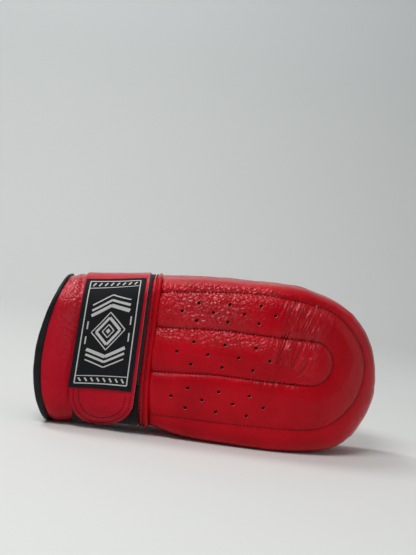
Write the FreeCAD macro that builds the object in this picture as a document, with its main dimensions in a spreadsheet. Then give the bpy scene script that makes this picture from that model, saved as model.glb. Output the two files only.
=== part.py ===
"""Padded bag glove (mitt) for the right hand, standing on its little-finger edge.

Frame, in millimetres: +X runs from the wrist hem to the fingertips, -Y is the back of the hand,
+Y is the palm and +Z is the thumb side. The floor is Z = 0.
The glove is layered as it is sewn: a leather shell over two foam layers and a lining sock, a mesh palm
with leather overlays, a tubular cuff with a hook-and-loop strap, and a separate thumb sheath.
"""

import FreeCAD, Part
import Sketcher
import math
import os

from FreeCAD import Vector

DOC = FreeCAD.newDocument("bag_glove")

SIZES = [
    # alias, value or formula, what it is
    ("hem_bow", 18.4, "how far the hem's middle stands out past its sides"),
    ("hem_gap", 0.6, "clearance between the hem binding's sides and the strap"),
    ("hem_side_x", "=strap_x - strap_width / 2 - hem_gap - binding", "wrist hem at its sides"),
    ("seam_x", -60.0, "seam between cuff and hand"),
    ("knuckle_x", 30.0, "line where the back starts to curl"),
    ("palm_bend_x", 40.0, "line where the palm starts to curl"),
    ("tip_x", 136.0, "fingertip end"),
    ("hand_width", 132.0, "hand across the knuckles"),
    ("tip_narrowing", 6.0, "how much less than half the hand's width the fingertip end's radius is"),
    ("tip_drop", 3.0, "fingertip arc's centre below the hand's middle"),
    ("shoulder_radius", 150.0, "plan radius that leads from each side into the tip"),
    ("flat_start_x", 20.0, "wrist end of the straight little-finger edge"),
    ("heel_radius", 430.0, "plan radius of the little-finger edge towards the wrist"),
    ("index_radius", 1600.0, "plan radius of the thumb side towards the wrist"),
    ("back_at_seam", 33.0, "back of the hand above the middle plane, at the seam"),
    ("back_at_knuckle", 36.0, "back of the hand above the middle plane, at the knuckles"),
    ("back_curl", 170.0, "side-view radius of the back over the fingers"),
    ("palm_depth", 26.0, "palm below the middle plane"),
    ("palm_curl", 350.0, "side-view radius of the palm over the fingers"),
    ("back_bevel", 11.0, "bevel of the back edge"),
    ("palm_bevel", 6.5, "bevel of the palm edge"),
    ("leather", 1.3, "leather thickness"),
    ("gap", 0.25, "clearance between sewn layers"),
    ("outer_foam", 10.0, "dense foam over the knuckles"),
    ("outer_foam_side", 2.2, "dense foam down the sides"),
    ("inner_foam", 10.0, "soft foam next to the hand"),
    ("inner_foam_side", 9.0, "soft foam down the sides"),
    ("mesh", 2.0, "palm mesh thickness"),
    ("lining", 0.8, "lining thickness"),
    ("lip", 2.8, "depth of the back leather's lip round the fingertips"),
    ("side_seam", 9.0, "depth of the side seam above the palm"),
    ("mesh_end_x", 56.0, "finger end of the palm mesh"),
    ("vent_radius", 1.35, "six-sided punched vent hole"),
    ("vent_pitch", 24.5, "vent holes along the hand"),
    ("vent_row", 8.2, "vent rows across the hand"),
    ("vent_x", -21.5, "first column of the short vent rows"),
    ("vent_low", 37.0, "middle row of the lowest vent cluster"),
    ("vent_mid", 74.0, "middle row of the middle vent cluster"),
    ("vent_high", 108.0, "middle row of the highest vent cluster"),
    ("bar_x", 67.0, "grip bar's middle"),
    ("bar_radius", 9.5, "foam core of the grip bar"),
    ("bar_rise", 4.5, "core's centre above the palm"),
    ("bar_end_bevel", 5.5, "bevel of the bar's ends"),
    ("bar_flange", 9.0, "sewn flange each side of the grip bar"),
    ("bar_inset", 4.0, "grip bar's end inside the hand's edge"),
    ("cuff_foam", 5.0, "cuff padding"),
    ("binding", 5.0, "width of the hem binding"),
    ("binding_bulge", 0.9, "binding proud of the cuff"),
    ("hem_low", 0.95, "cuff's little-finger edge at the hem"),
    ("hem_high", 122.5, "cuff's thumb edge at the hem"),
    ("hem_back", -35.0, "cuff's back at the hem"),
    ("hem_palm", 34.0, "cuff's palm side at the hem"),
    ("hem_round", 25.0, "cuff's corner radius at the hem"),
    ("waist_low", 5.2, "cuff's little-finger edge under the strap"),
    ("waist_high", 124.5, "cuff's thumb edge under the strap"),
    ("waist_back", -31.5, "cuff's back under the strap"),
    ("waist_palm", 27.0, "cuff's palm side under the strap"),
    ("waist_round", 21.0, "cuff's corner radius under the strap"),
    ("seam_low", 7.4, "cuff's little-finger edge at the seam"),
    ("seam_high", 128.6, "cuff's thumb edge at the seam"),
    ("seam_round", 15.0, "cuff's corner radius at the seam"),
    ("strap_x", "=seam_x - band_width - band_gap - strap_width / 2", "middle of the strap"),
    ("strap_width", 52.0, "strap width"),
    ("strap_end_z", 6.5, "rounded end of the strap"),
    ("strap_hinge_y", -6.0, "line where the strap folds open"),
    ("strap_root_z", 78.0, "sewn end of the strap, on the palm side"),
    ("tab_fold_z", 32.0, "line where the pull tab flexes"),
    ("loop_tape", 1.2, "loop tape thickness"),
    ("hook_tape", 0.9, "hook tape thickness"),
    ("label_margin", 1.5, "strap showing beside the patch"),
    ("label_top_z", 121.0, "patch's upper edge"),
    ("label_round", 3.0, "patch's plan corners"),
    ("label_thick", 0.9, "patch thickness"),
    ("loop_high", 58.0, "upper edge of the loop tape"),
    ("loop_under_y", -12.0, "the loop tape's edge under the cuff, from the middle plane"),
    ("band_width", 5.2, "seam band beside the wrist seam"),
    ("band_thick", 1.2, "seam band thickness"),
    ("band_gap", 0.8, "clearance between the seam band and the strap"),
    ("joint_gap", 0.3, "clearance between parts that move past each other"),
    ("thumb_x", -27.0, "middle of the thumb sheath"),
    ("thumb_width", 46.0, "thumb sheath along the hand"),
    ("thumb_depth", 27.0, "thumb sheath away from the palm"),
    ("thumb_top", 122.0, "thumb sheath's root"),
    ("thumb_end", 14.0, "thumb sheath's tip"),
    ("thumb_bevel", 7.0, "bevel of the thumb sheath's outer edge"),
    ("thumb_gap", 0.6, "thumb sheath clear of the palm"),
    ("thumb_tip_round", 20.0, "plan rounding of the thumb sheath's tip"),
    ("thumb_root_round", 8.0, "plan rounding of the thumb sheath's root"),
    ("thumb_pad", 5.5, "foam over the thumb"),
    ("thumb_pad_side", 3.0, "foam round the thumb"),
    ("mouth_low", 86.0, "lower edge of the thumb hole"),
    ("mouth_high", 112.0, "upper edge of the thumb hole"),
    ("mouth_round", 11.0, "corners of the thumb hole"),
    ("mouth_half", 15.0, "half the thumb hole's length along the hand"),
    ("gusset_x", 34.0, "finger end of the thumb gusset, beyond the thumb side"),
    ("gusset_mid_x", -14.0, "finger end of the thumb gusset, at mid width"),
    ("heel_x", -22.0, "finger end of the heel leather, on the little-finger edge"),
    ("centre_shift", 7.12, "how far the middle plane lies off the glove's centre"),
    ("length_shift", "=-(tip_x + hem_side_x - hem_bow) / 2", "puts the glove's middle at X = 0"),
]


def spreadsheet():
    """The driving dimensions, one row each: what it is, and its value under its alias."""
    sheet = DOC.addObject("Spreadsheet::Sheet", "sizes")
    for row, (alias, value, note) in enumerate(SIZES, start=1):
        sheet.set("A%d" % row, note)
        sheet.set("B%d" % row, str(value))
        sheet.setAlias("B%d" % row, alias)
    DOC.recompute()
    return sheet


SHEET = spreadsheet()


def size(alias):
    return float(SHEET.get(alias))


# ---------------------------------------------------------------- small helpers


def feature(label, shape):
    """A Part::Feature that holds a shape made with Part's own functions."""
    made = DOC.addObject("Part::Feature", label)
    made.Label = label
    made.Shape = shape
    return made


def box(label, x, y, z):
    """A Part::Box between pairs of expressions, each bound to the sheet."""
    made = DOC.addObject("Part::Box", label)
    made.Label = label
    for axis, side, (low, high) in zip("xyz", ("Length", "Width", "Height"), (x, y, z)):
        made.setExpression("Placement.Base." + axis, "(%s) * 1 mm" % low)
        made.setExpression(side, "((%s) - (%s)) * 1 mm" % (high, low))
    return made


def rounded_block(label, block, radius):
    """A Part::Fillet on a box's four edges along Y."""
    DOC.recompute()
    made = DOC.addObject("Part::Fillet", label)
    made.Label = label
    made.Base = block
    made.Edges = [
        (index, radius, radius)
        for index, edge in enumerate(block.Shape.Edges, start=1)
        if abs(edge.tangentAt(edge.FirstParameter).y) > 0.9
    ]
    return made


def common(label, *objects):
    made = DOC.addObject("Part::MultiCommon", label)
    made.Label = label
    made.Shapes = list(objects)
    return made


def fuse(label, *objects):
    made = DOC.addObject("Part::MultiFuse", label)
    made.Label = label
    made.Shapes = list(objects)
    return made


def cut(label, base, *tools):
    """base with each tool taken away, one Part::Cut after another; the last carries the label."""
    for index, tool in enumerate(tools):
        last = index == len(tools) - 1
        name = label if last else "%s_cut_%d" % (label, index)
        made = DOC.addObject("Part::Cut", name)
        made.Label = name
        made.Base = base
        made.Tool = tool
        base = made
    return base


def arc(start, middle, end):
    return Part.Arc(start, middle, end).toShape()


def line(start, end):
    return Part.LineSegment(start, end).toShape()


def turned_arc(centre, radius, first, last, plane):
    """An arc about centre from angle first to angle last, in radians; plane places (u, v) in space."""
    points = []
    for angle in (first, (first + last) / 2, last):
        points.append(plane(centre[0] + radius * math.cos(angle), centre[1] + radius * math.sin(angle)))
    return arc(*points)


# ---------------------------------------------------------------- the hand's outlines

HAND_START = size("seam_x") - 15.0  # tools run this far past the wrist seam before they are trimmed
REACH = 200.0  # longer than the glove is deep


def plan_outline(inset):
    """The hand seen from the back: a closed wire of tangent arcs in the plane Y = 0, moved in by inset."""
    width = size("hand_width")
    tip_radius = width / 2 - size("tip_narrowing")
    shoulder = size("shoulder_radius")
    tip_centre = (size("tip_x") - tip_radius, width / 2 - size("tip_drop"))

    def plane(x, z):
        return Vector(x, 0, z)

    def shoulder_centre(edge_z, side):
        """Centre of the arc tangent to the edge at edge_z and to the tip arc; side is +1 at the top."""
        centre_z = edge_z - side * shoulder
        rise = tip_centre[1] - centre_z
        run = math.sqrt((shoulder - tip_radius) ** 2 - rise**2)
        return (tip_centre[0] - run, centre_z)

    def angle(from_point, to_point):
        return math.atan2(to_point[1] - from_point[1], to_point[0] - from_point[0])

    high = shoulder_centre(width, 1)
    low = shoulder_centre(0.0, -1)
    high_turn = angle(high, tip_centre)
    low_turn = angle(low, tip_centre)
    index_centre = (high[0], width - size("index_radius"))
    heel_centre = (size("flat_start_x"), size("heel_radius"))
    index_start = math.pi / 2 + math.asin((high[0] - HAND_START) / (size("index_radius") - inset))
    heel_end = -math.pi / 2 - math.asin((heel_centre[0] - HAND_START) / (size("heel_radius") - inset))
    edges = [
        turned_arc(index_centre, size("index_radius") - inset, index_start, math.pi / 2, plane),
        turned_arc(high, shoulder - inset, math.pi / 2, high_turn, plane),
        turned_arc(tip_centre, tip_radius - inset, high_turn, low_turn, plane),
        turned_arc(low, shoulder - inset, low_turn, -math.pi / 2, plane),
        line(plane(low[0], inset), plane(heel_centre[0], inset)),
        turned_arc(heel_centre, size("heel_radius") - inset, -math.pi / 2, heel_end, plane),
    ]
    edges.append(line(edges[-1].Vertexes[-1].Point, edges[0].Vertexes[0].Point))
    return Part.Wire(Part.__sortEdges__(edges))


def plan_prism(inset):
    outline = plan_outline(inset)
    outline.translate(Vector(0, -REACH / 2, 0))
    return Part.Face(outline).extrude(Vector(0, REACH, 0))


def back_line(inset):
    """Side view of the back: (start, knuckle, centre of the curl, radius, slope at the seam)."""
    seam, knuckle = size("seam_x"), size("knuckle_x")
    seam_y, knuckle_y = -size("back_at_seam"), -size("back_at_knuckle")
    slope = math.atan2(knuckle_y - seam_y, knuckle - seam)
    normal = (-math.sin(slope), math.cos(slope))
    start_y = seam_y + (HAND_START - seam) * math.tan(slope)
    radius = size("back_curl")
    centre = (knuckle + radius * normal[0], knuckle_y + radius * normal[1])
    start = (HAND_START, start_y + inset / math.cos(slope))
    bend = (knuckle + inset * normal[0], knuckle_y + inset * normal[1])
    return start, bend, centre, radius - inset, slope


def side_profile(back, palm, height):
    """Side view of the hand, drawn at one height, with its back and palm moved in."""

    def plane(x, y):
        return Vector(x, y, height)

    far_x = size("tip_x") + 12.0
    start, bend, centre, radius, slope = back_line(back)
    back_end = -math.acos((far_x - centre[0]) / radius)
    palm_y = size("palm_depth") - palm
    palm_centre = (size("palm_bend_x"), size("palm_depth") + size("palm_curl"))
    palm_radius = size("palm_curl") + palm
    palm_end = -math.acos((far_x - palm_centre[0]) / palm_radius)
    back_curve = turned_arc(centre, radius, -math.pi / 2 + slope, back_end, plane)
    palm_curve = turned_arc(palm_centre, palm_radius, palm_end, -math.pi / 2, plane)
    palm_start = plane(HAND_START, palm_y)
    edges = [
        line(plane(*start), back_curve.Vertexes[0].Point),
        back_curve,
        line(back_curve.Vertexes[-1].Point, palm_curve.Vertexes[0].Point),
        palm_curve,
        line(palm_curve.Vertexes[-1].Point, palm_start),
        line(palm_start, plane(*start)),
    ]
    return Part.Wire(edges)


def hand_envelope(side, back, palm, back_bevel=0.0, palm_bevel=0.0):
    """A closed solid of the hand, inset by side, back and palm, with its two long edges bevelled."""
    width, spare = size("hand_width"), 5.0
    slab = Part.Face(side_profile(back, palm, -spare)).extrude(Vector(0, 0, width + 2 * spare))
    solid = plan_prism(side).common(slab).Solids[0]
    for bevel, sense in ((back_bevel, -1), (palm_bevel, 1)):
        if bevel > 0:
            solid = solid.makeChamfer(bevel, rim_edges(solid, sense)).Solids[0]
    return solid


def rim_edges(solid, sense):
    """The edges between the wall and the back (sense -1) or the palm (sense +1)."""
    found = []
    for edge in solid.Edges:
        tangent = edge.tangentAt((edge.FirstParameter + edge.LastParameter) / 2)
        middle = edge.valueAt((edge.FirstParameter + edge.LastParameter) / 2)
        at_start = all(abs(v.Point.x - HAND_START) < 0.01 for v in edge.Vertexes)
        if at_start or abs(tangent.y) > 0.9:
            continue
        normals = [face_normal(face, middle) for face in solid.ancestorsOfType(edge, Part.Face)]
        wall = any(abs(n.y) < 0.05 for n in normals)
        open_side = any(n.y * sense > 0.3 for n in normals)
        if wall and open_side:
            found.append(edge)
    return found


def face_normal(face, point):
    u, v = face.Surface.parameter(point)
    return face.normalAt(u, v)


def palm_zone(depth):
    """Everything on the palm side of the palm's surface moved in by depth."""
    face = Part.Face(side_profile(0.0, depth, -REACH))
    above = face.extrude(Vector(0, 0, 2 * REACH))
    block = Part.makeBox(
        size("tip_x") + 11.0 - HAND_START, REACH, 2 * REACH - 2, Vector(HAND_START, -REACH / 4, 1 - REACH)
    )
    return block.cut(above).Solids[-1]


# ---------------------------------------------------------------- the cuff's outlines


def cuff_section(x, low, high, back, palm, corner_radius, inset):
    """A ring across the wrist: four straight sides with faceted round corners.

    inset moves it in, or out if negative, about the same corner centres.
    """
    facets = 4
    corners = (
        (palm - corner_radius, high - corner_radius),
        (palm - corner_radius, low + corner_radius),
        (back + corner_radius, low + corner_radius),
        (back + corner_radius, high - corner_radius),
    )
    points = []
    for quarter, (y, z) in enumerate(corners):
        for step in range(facets + 1):
            turn = math.pi / 2 * (quarter + step / facets)
            reach = corner_radius - inset
            points.append(Vector(x, y + reach * math.sin(turn), z + reach * math.cos(turn)))
    return points


def cuff_form(inset):
    """The cuff as a solid, from beyond the hem to beyond the seam, moved in by inset."""
    hem = [size("hem_side_x")]
    hem += [size("hem_" + name) for name in ("low", "high", "back", "palm", "round")]
    waist = [size("strap_x")]
    waist += [size("waist_" + name) for name in ("low", "high", "back", "palm", "round")]
    seam = [size("seam_x"), size("seam_low"), size("seam_high"), -size("back_at_seam")]
    seam += [size("palm_depth"), size("seam_round")]

    def beyond(ring, x):
        """The ring on the straight run from the waist through this one, at x."""
        share = (x - waist[0]) / (ring[0] - waist[0])
        return [start + (end - start) * share for start, end in zip(waist, ring)]

    rings = (beyond(hem, size("hem_side_x") - size("hem_bow") - 12.0), waist, beyond(seam, size("seam_x") + 12.0))
    return faceted_tube([cuff_section(*ring, inset) for ring in rings])


def faceted_tube(rings):
    """A solid through rings of points, with a flat facet between each pair of matching sides."""
    faces = [flat_face(rings[0]), flat_face(rings[-1])]
    for near, far in zip(rings, rings[1:]):
        for index, start in enumerate(near):
            following = (index + 1) % len(near)
            faces.append(flat_face([start, near[following], far[following], far[index]]))
    return Part.Solid(Part.Shell(faces))


def flat_face(points):
    return Part.Face(Part.makePolygon(points + points[:1]))


def hem_side(offset):
    """Everything on the finger side of the bowed hem line, in eight facets, moved along by offset."""
    width = size("hand_width")
    middle = (size("hem_low") + size("hem_high")) / 2
    side_x = size("hem_side_x") + offset
    bow_x = side_x - size("hem_bow")
    half = middle
    spread = half / 2

    def plane(x, z):
        return Vector(x, -REACH / 2, z)

    slope = size("hem_bow") / half
    bow = arc(plane(side_x, middle - half), plane(bow_x, middle), plane(side_x, middle + half))
    corners = bow.discretize(Number=9)
    edges = [line(start, end) for start, end in zip(corners, corners[1:])]
    edges += [
        line(plane(side_x, middle + half), plane(side_x + spread * slope, middle + half + spread)),
        line(plane(side_x + spread * slope, middle + half + spread), plane(REACH, width + REACH)),
        line(plane(REACH, width + REACH), plane(REACH, -REACH)),
        line(plane(REACH, -REACH), plane(side_x + spread * slope, middle - half - spread)),
        line(plane(side_x + spread * slope, middle - half - spread), plane(side_x, middle - half)),
    ]
    outline = Part.Wire(edges)
    return Part.Face(outline).extrude(Vector(0, REACH, 0))


def plan_cutter(points, bulge):
    """A prism along Y on a plan outline of (x, z) corners; the first side bows out by bulge."""
    corners = [Vector(x, -REACH / 2, z) for x, z in points]
    first, second = corners[0], corners[1]
    along = (second - first).normalize()
    sideways = Vector(along.z, 0, -along.x) * bulge
    edges = [arc(first, (first + second) / 2 + sideways, second)]
    for start, end in zip(corners[1:], corners[2:] + corners[:1]):
        edges.append(line(start, end))
    return Part.Face(Part.Wire(edges)).extrude(Vector(0, REACH, 0))


# ---------------------------------------------------------------- forms the sub-parts are cut from

PIECES = []
LEATHER = size("leather")
GAP = size("gap")


def bevel_inside(bevel, side, face, clear):
    """The bevel that lies clear inside one of size bevel, on edges moved in by side and face."""
    return bevel + clear * math.sqrt(2) - side - face


def hand_form(label, side, back, palm, back_bevel=0.0, palm_bevel=0.0):
    return feature(label, hand_envelope(side, back, palm, back_bevel, palm_bevel))


def skin_form(label, inset):
    """The hand moved in by the same amount all round."""
    back_bevel = bevel_inside(size("back_bevel"), inset, inset, inset)
    palm_bevel = bevel_inside(size("palm_bevel"), inset, inset, inset)
    return hand_form(label, inset, inset, inset, back_bevel, palm_bevel)


def cuff_ring(label, outer, inner):
    """A tube of the cuff between two depths."""
    outside = feature(label + "_outside", cuff_form(outer))
    inside = feature(label + "_inside", cuff_form(inner))
    return cut(label, outside, inside)


def sub_part(label, base, tools=(), within=()):
    """One named piece: base kept inside each of within, with each of tools taken away."""
    if tools and within:
        base = common(label + "_trim", base, *within)
    shape = cut(label, base, *tools) if tools else common(label, base, *within)
    PIECES.append(shape)
    return shape


hand_side = box("hand_side", ("sizes.seam_x + 0.1", "200"), ("-200", "200"), ("-50", "250"))
cuff_side = box("cuff_side", ("-200", "sizes.seam_x - 0.1"), ("-200", "200"), ("-50", "250"))

# ---------------------------------------------------------------- hand: shell, padding and lining

skin = skin_form("skin", 0.0)
skin_inner = skin_form("skin_inner", LEATHER)
leather_shell = cut("leather_shell", skin, skin_inner)

tip_half = box(
    "tip_half", ("sizes.mesh_end_x", "200"), ("-200", "200"), ("-50", "250")
)
wrist_half = box(
    "wrist_half", ("sizes.seam_x", "sizes.mesh_end_x"), ("-200", "200"), ("-50", "250")
)


def below_seam(label, extra):
    """The palm side of the glove, up to the side seam, moved away from the seam by extra."""
    lip = feature(label + "_lip", palm_zone(size("lip") - extra))
    side = feature(label + "_side", palm_zone(size("side_seam") - extra))
    return fuse(
        label, common(label + "_tip", lip, tip_half), common(label + "_wrist", side, wrist_half)
    )


palm_side = below_seam("palm_side", 0.0)
palm_side_clear = below_seam("palm_side_clear", 0.2)

vents = []
for cluster in ("low", "mid", "high"):
    for row, (columns, offset) in enumerate(((3, 0.0), (4, -0.5), (3, 0.0)), start=-1):
        for column in range(columns):
            vent = DOC.addObject("Part::Prism", "vent_%s_%d_%d" % (cluster, row + 2, column + 1))
            vent.Polygon = 6
            vent.setExpression("Circumradius", "sizes.vent_radius * 1 mm")
            vent.Height = REACH / 2
            vent.Placement.Rotation = FreeCAD.Rotation(Vector(1, 0, 0), 90)
            along = "sizes.vent_x + sizes.vent_pitch * %s" % (column + offset)
            across = "sizes.vent_%s + sizes.vent_row * %d" % (cluster, row)
            vent.setExpression("Placement.Base.x", "(%s) * 1 mm" % along)
            vent.setExpression("Placement.Base.z", "(%s) * 1 mm" % across)
            vents.append(vent)
vent_punch = DOC.addObject("Part::Compound", "vent_punch")
vent_punch.Links = vents

sub_part("back_leather", leather_shell, [palm_side, vent_punch], [hand_side])

outer_foam_in = LEATHER + GAP
outer_foam_side = outer_foam_in + size("outer_foam_side")
outer_foam_back = outer_foam_in + size("outer_foam")
inner_foam_side = outer_foam_side + GAP + size("inner_foam_side")
inner_foam_back = outer_foam_back + GAP + size("inner_foam")
palm_stack = size("mesh") + GAP
lining_side = inner_foam_side + GAP
lining_back = inner_foam_back + GAP
lining_palm = palm_stack + GAP

def foam_bevels(side):
    """Bevels of a foam whose sides are moved in by side: on the back, and clear of the palm mesh."""
    return (
        bevel_inside(size("back_bevel"), side, side, side),
        bevel_inside(size("palm_bevel"), side, palm_stack, palm_stack),
    )


knuckle_form = hand_form(
    "knuckle_form", outer_foam_in, outer_foam_in, palm_stack, *foam_bevels(outer_foam_in)
)
knuckle_core = hand_form("knuckle_core", outer_foam_side, outer_foam_back, -5.0)
inner_side = outer_foam_side + GAP
inner_form = hand_form(
    "inner_form", inner_side, outer_foam_back + GAP, palm_stack, 0.0, foam_bevels(inner_side)[1]
)
inner_core = hand_form("inner_core", inner_foam_side, inner_foam_back, -5.0)
lining_form = hand_form("lining_form", lining_side, lining_back, lining_palm)
cavity_form = hand_form(
    "cavity_form",
    lining_side + size("lining"),
    lining_back + size("lining"),
    lining_palm + size("lining"),
)
mesh_room = common(
    "mesh_room", cut("mesh_depth", skin, skin_form("mesh_clear", palm_stack)), palm_side
)

sub_part("knuckle_foam", knuckle_form, [knuckle_core, mesh_room], [hand_side])
sub_part("inner_foam", inner_form, [inner_core], [hand_side])

# ---------------------------------------------------------------- thumb hole

thumb_hole = DOC.addObject("Part::Box", "thumb_hole")
thumb_hole.setExpression("Placement.Base.x", "(sizes.thumb_x - sizes.mouth_half) * 1 mm")
thumb_hole.setExpression("Placement.Base.z", "sizes.mouth_low * 1 mm")
thumb_hole.setExpression("Length", "2 * sizes.mouth_half * 1 mm")
thumb_hole.setExpression("Height", "(sizes.mouth_high - sizes.mouth_low) * 1 mm")
thumb_hole.setExpression("Width", "(sizes.palm_depth + 10) * 1 mm")
thumb_mouth = rounded_block("thumb_mouth", thumb_hole, size("mouth_round"))

sub_part("hand_lining", lining_form, [cavity_form, thumb_mouth], [hand_side])

# ---------------------------------------------------------------- palm overlays

palm_skin = common("palm_skin", leather_shell, palm_side_clear, hand_side)
mesh_shell = cut(
    "mesh_shell", skin_form("mesh_outside", 0.2), skin_form("mesh_inside", size("mesh"))
)
mesh_sheet = common("mesh_sheet", mesh_shell, palm_side_clear, hand_side)

far = REACH
top = size("hand_width") + 20.0
middle_z = size("hand_width") / 2


def overlay_area(label, corners, bulge, moved):
    return feature(label, plan_cutter([(x + moved, z) for x, z in corners], bulge))


gusset_corners = [
    (size("gusset_x"), top),
    (size("gusset_mid_x"), middle_z),
    (-far, middle_z - 30.0),
    (-far, top),
]
heel_corners = [
    (size("gusset_mid_x"), middle_z),
    (size("heel_x"), -20.0),
    (-far, -20.0),
    (-far, middle_z),
]
gusset_area = overlay_area("gusset_area", gusset_corners, -5.0, -0.1)
gusset_clear = overlay_area("gusset_clear", gusset_corners, -5.0, 0.1)
heel_area = overlay_area("heel_area", heel_corners, 6.0, -0.1)
heel_clear = overlay_area("heel_clear", heel_corners, 6.0, 0.1)
finger_area = box("finger_area", ("sizes.mesh_end_x + 0.1", "200"), ("-200", "200"), ("-50", "250"))
mesh_area = box("mesh_area", ("-200", "sizes.mesh_end_x - 0.1"), ("-200", "200"), ("-50", "250"))

sub_part("fingertip_leather", palm_skin, within=[finger_area])
sub_part("palm_mesh", mesh_sheet, [gusset_clear, heel_clear], [mesh_area])
sub_part("thumb_gusset", palm_skin, [thumb_mouth], [gusset_area])
sub_part("palm_heel_leather", palm_skin, [gusset_clear], [heel_area])

# ---------------------------------------------------------------- sketched bodies


def origin_plane(body, role):
    return next(item for item in body.Origin.OriginFeatures if item.Role == role)


def padded_body(label, role, draw, length, start, bevels):
    """A PartDesign body: a sketch drawn on an origin plane, padded by length from start, bevelled.

    bevels maps the end whose edges are bevelled (-1 start, +1 far end) to the bevel's expression.
    """
    body = DOC.addObject("PartDesign::Body", label)
    body.Label = label
    sketch = body.newObject("Sketcher::SketchObject", label + "_sketch")
    sketch.AttachmentSupport = (origin_plane(body, role), [""])
    sketch.MapMode = "FlatFace"
    draw(sketch)
    pad = body.newObject("PartDesign::Pad", label + "_pad")
    pad.Profile = sketch
    pad.Reversed = role == "XZ_Plane"
    pad.setExpression("Length", "(%s) * 1 mm" % length)
    axis = "y" if role == "XZ_Plane" else "z"
    body.setExpression("Placement.Base." + axis, "(%s) * 1 mm" % start)
    DOC.recompute()
    tip = pad
    for side, bevel in bevels.items():
        suffix = "_bevel_start" if side < 0 else "_bevel_end"
        chamfer = body.newObject("PartDesign::Chamfer", label + suffix)
        chamfer.Base = (tip, end_edges(tip.Shape, axis, side))
        chamfer.setExpression("Size", "(%s) * 1 mm" % bevel)
        DOC.recompute()
        tip = chamfer
    body.Tip = tip
    return body


def end_edges(shape, axis, side):
    """Names of the edges round the start (-1) or the end (+1) face of a pad."""
    low, high = getattr(shape.BoundBox, axis.upper() + "Min"), getattr(shape.BoundBox, axis.upper() + "Max")
    level = low if side < 0 else high
    names = []
    for index, edge in enumerate(shape.Edges, start=1):
        middle = edge.valueAt((edge.FirstParameter + edge.LastParameter) / 2)
        ends = [vertex.Point for vertex in edge.Vertexes]
        if all(abs(getattr(point, axis) - level) < 0.001 for point in [middle] + ends):
            names.append("Edge%d" % index)
    return names


def circle_drawing(centre_x, centre_y, radius):
    """A circle whose centre and radius are bound to expressions."""

    def draw(sketch):
        sketch.addGeometry(Part.Circle(Vector(1, 1, 0), Vector(0, 0, 1), 1), False)
        for name, constraint, value in (
            ("across", Sketcher.Constraint("DistanceX", -1, 1, 0, 3, 1), centre_x),
            ("up", Sketcher.Constraint("DistanceY", -1, 1, 0, 3, 1), centre_y),
            ("round", Sketcher.Constraint("Radius", 0, 1), radius),
        ):
            bind(sketch, name, constraint, value)

    return draw


def bind(sketch, name, constraint, value):
    index = sketch.addConstraint(constraint)
    sketch.renameConstraint(index, name)
    sketch.setExpression("Constraints." + name, "(%s) * 1 mm" % value)


def tongue_drawing(inset):
    """The thumb sheath's outline, moved in by inset: a root with small corners, a tip with large ones."""
    half = size("thumb_width") / 2 - inset
    left, right = size("thumb_x") - half, size("thumb_x") + half
    low, high = size("thumb_end") + inset, size("thumb_top") - inset
    root, tip = size("thumb_root_round") - inset, size("thumb_tip_round") - inset
    quarter = math.pi / 2

    def draw(sketch):
        corners = (
            (right - root, high - root, root, 0),
            (left + root, high - root, root, 1),
            (left + tip, low + tip, tip, 2),
            (right - tip, low + tip, tip, 3),
        )
        for x, z, radius, turn in corners:
            circle = Part.Circle(Vector(x, z, 0), Vector(0, 0, 1), radius)
            sketch.addGeometry(Part.ArcOfCircle(circle, turn * quarter, (turn + 1) * quarter), False)
        ends = (
            (Vector(right - root, high, 0), Vector(left + root, high, 0)),
            (Vector(left, high - root, 0), Vector(left, low + tip, 0)),
            (Vector(left + tip, low, 0), Vector(right - tip, low, 0)),
            (Vector(right, low + tip, 0), Vector(right, high - root, 0)),
        )
        for start, end in ends:
            sketch.addGeometry(Part.LineSegment(start, end), False)
        for corner in range(4):
            sketch.addConstraint(Sketcher.Constraint("Tangent", corner, 2, 4 + corner, 1))
            sketch.addConstraint(Sketcher.Constraint("Tangent", 4 + corner, 2, (corner + 1) % 4, 1))
        sketch.addConstraint(Sketcher.Constraint("Horizontal", 4))
        sketch.addConstraint(Sketcher.Constraint("Vertical", 5))
        side = "sizes.thumb_x %s (sizes.thumb_width / 2 - %s)"
        for name, constraint, value in (
            ("root_right", Sketcher.Constraint("Radius", 0, root), "sizes.thumb_root_round - %s" % inset),
            ("root_left", Sketcher.Constraint("Radius", 1, root), "sizes.thumb_root_round - %s" % inset),
            ("tip_left", Sketcher.Constraint("Radius", 2, tip), "sizes.thumb_tip_round - %s" % inset),
            ("tip_right", Sketcher.Constraint("Radius", 3, tip), "sizes.thumb_tip_round - %s" % inset),
            ("left", Sketcher.Constraint("DistanceX", -1, 1, 5, 1, left), side % ("-", inset)),
            ("right", Sketcher.Constraint("DistanceX", -1, 1, 7, 1, right), side % ("+", inset)),
            ("low", Sketcher.Constraint("DistanceY", -1, 1, 6, 1, low), "sizes.thumb_end + %s" % inset),
            ("high", Sketcher.Constraint("DistanceY", -1, 1, 4, 1, high), "sizes.thumb_top - %s" % inset),
        ):
            bind(sketch, name, constraint, value)

    return draw


# ---------------------------------------------------------------- grip bar


def bar_form(label, extra, ends, bevels):
    """The grip bar's round form, grown by extra, its ends moved in by ends."""
    inset = "(sizes.bar_inset + %s)" % ends
    return padded_body(
        label,
        "XY_Plane",
        circle_drawing("sizes.bar_x", "sizes.palm_depth + sizes.bar_rise", "sizes.bar_radius + %s" % extra),
        "sizes.hand_width - 2 * " + inset,
        inset,
        bevels,
    )


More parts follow.
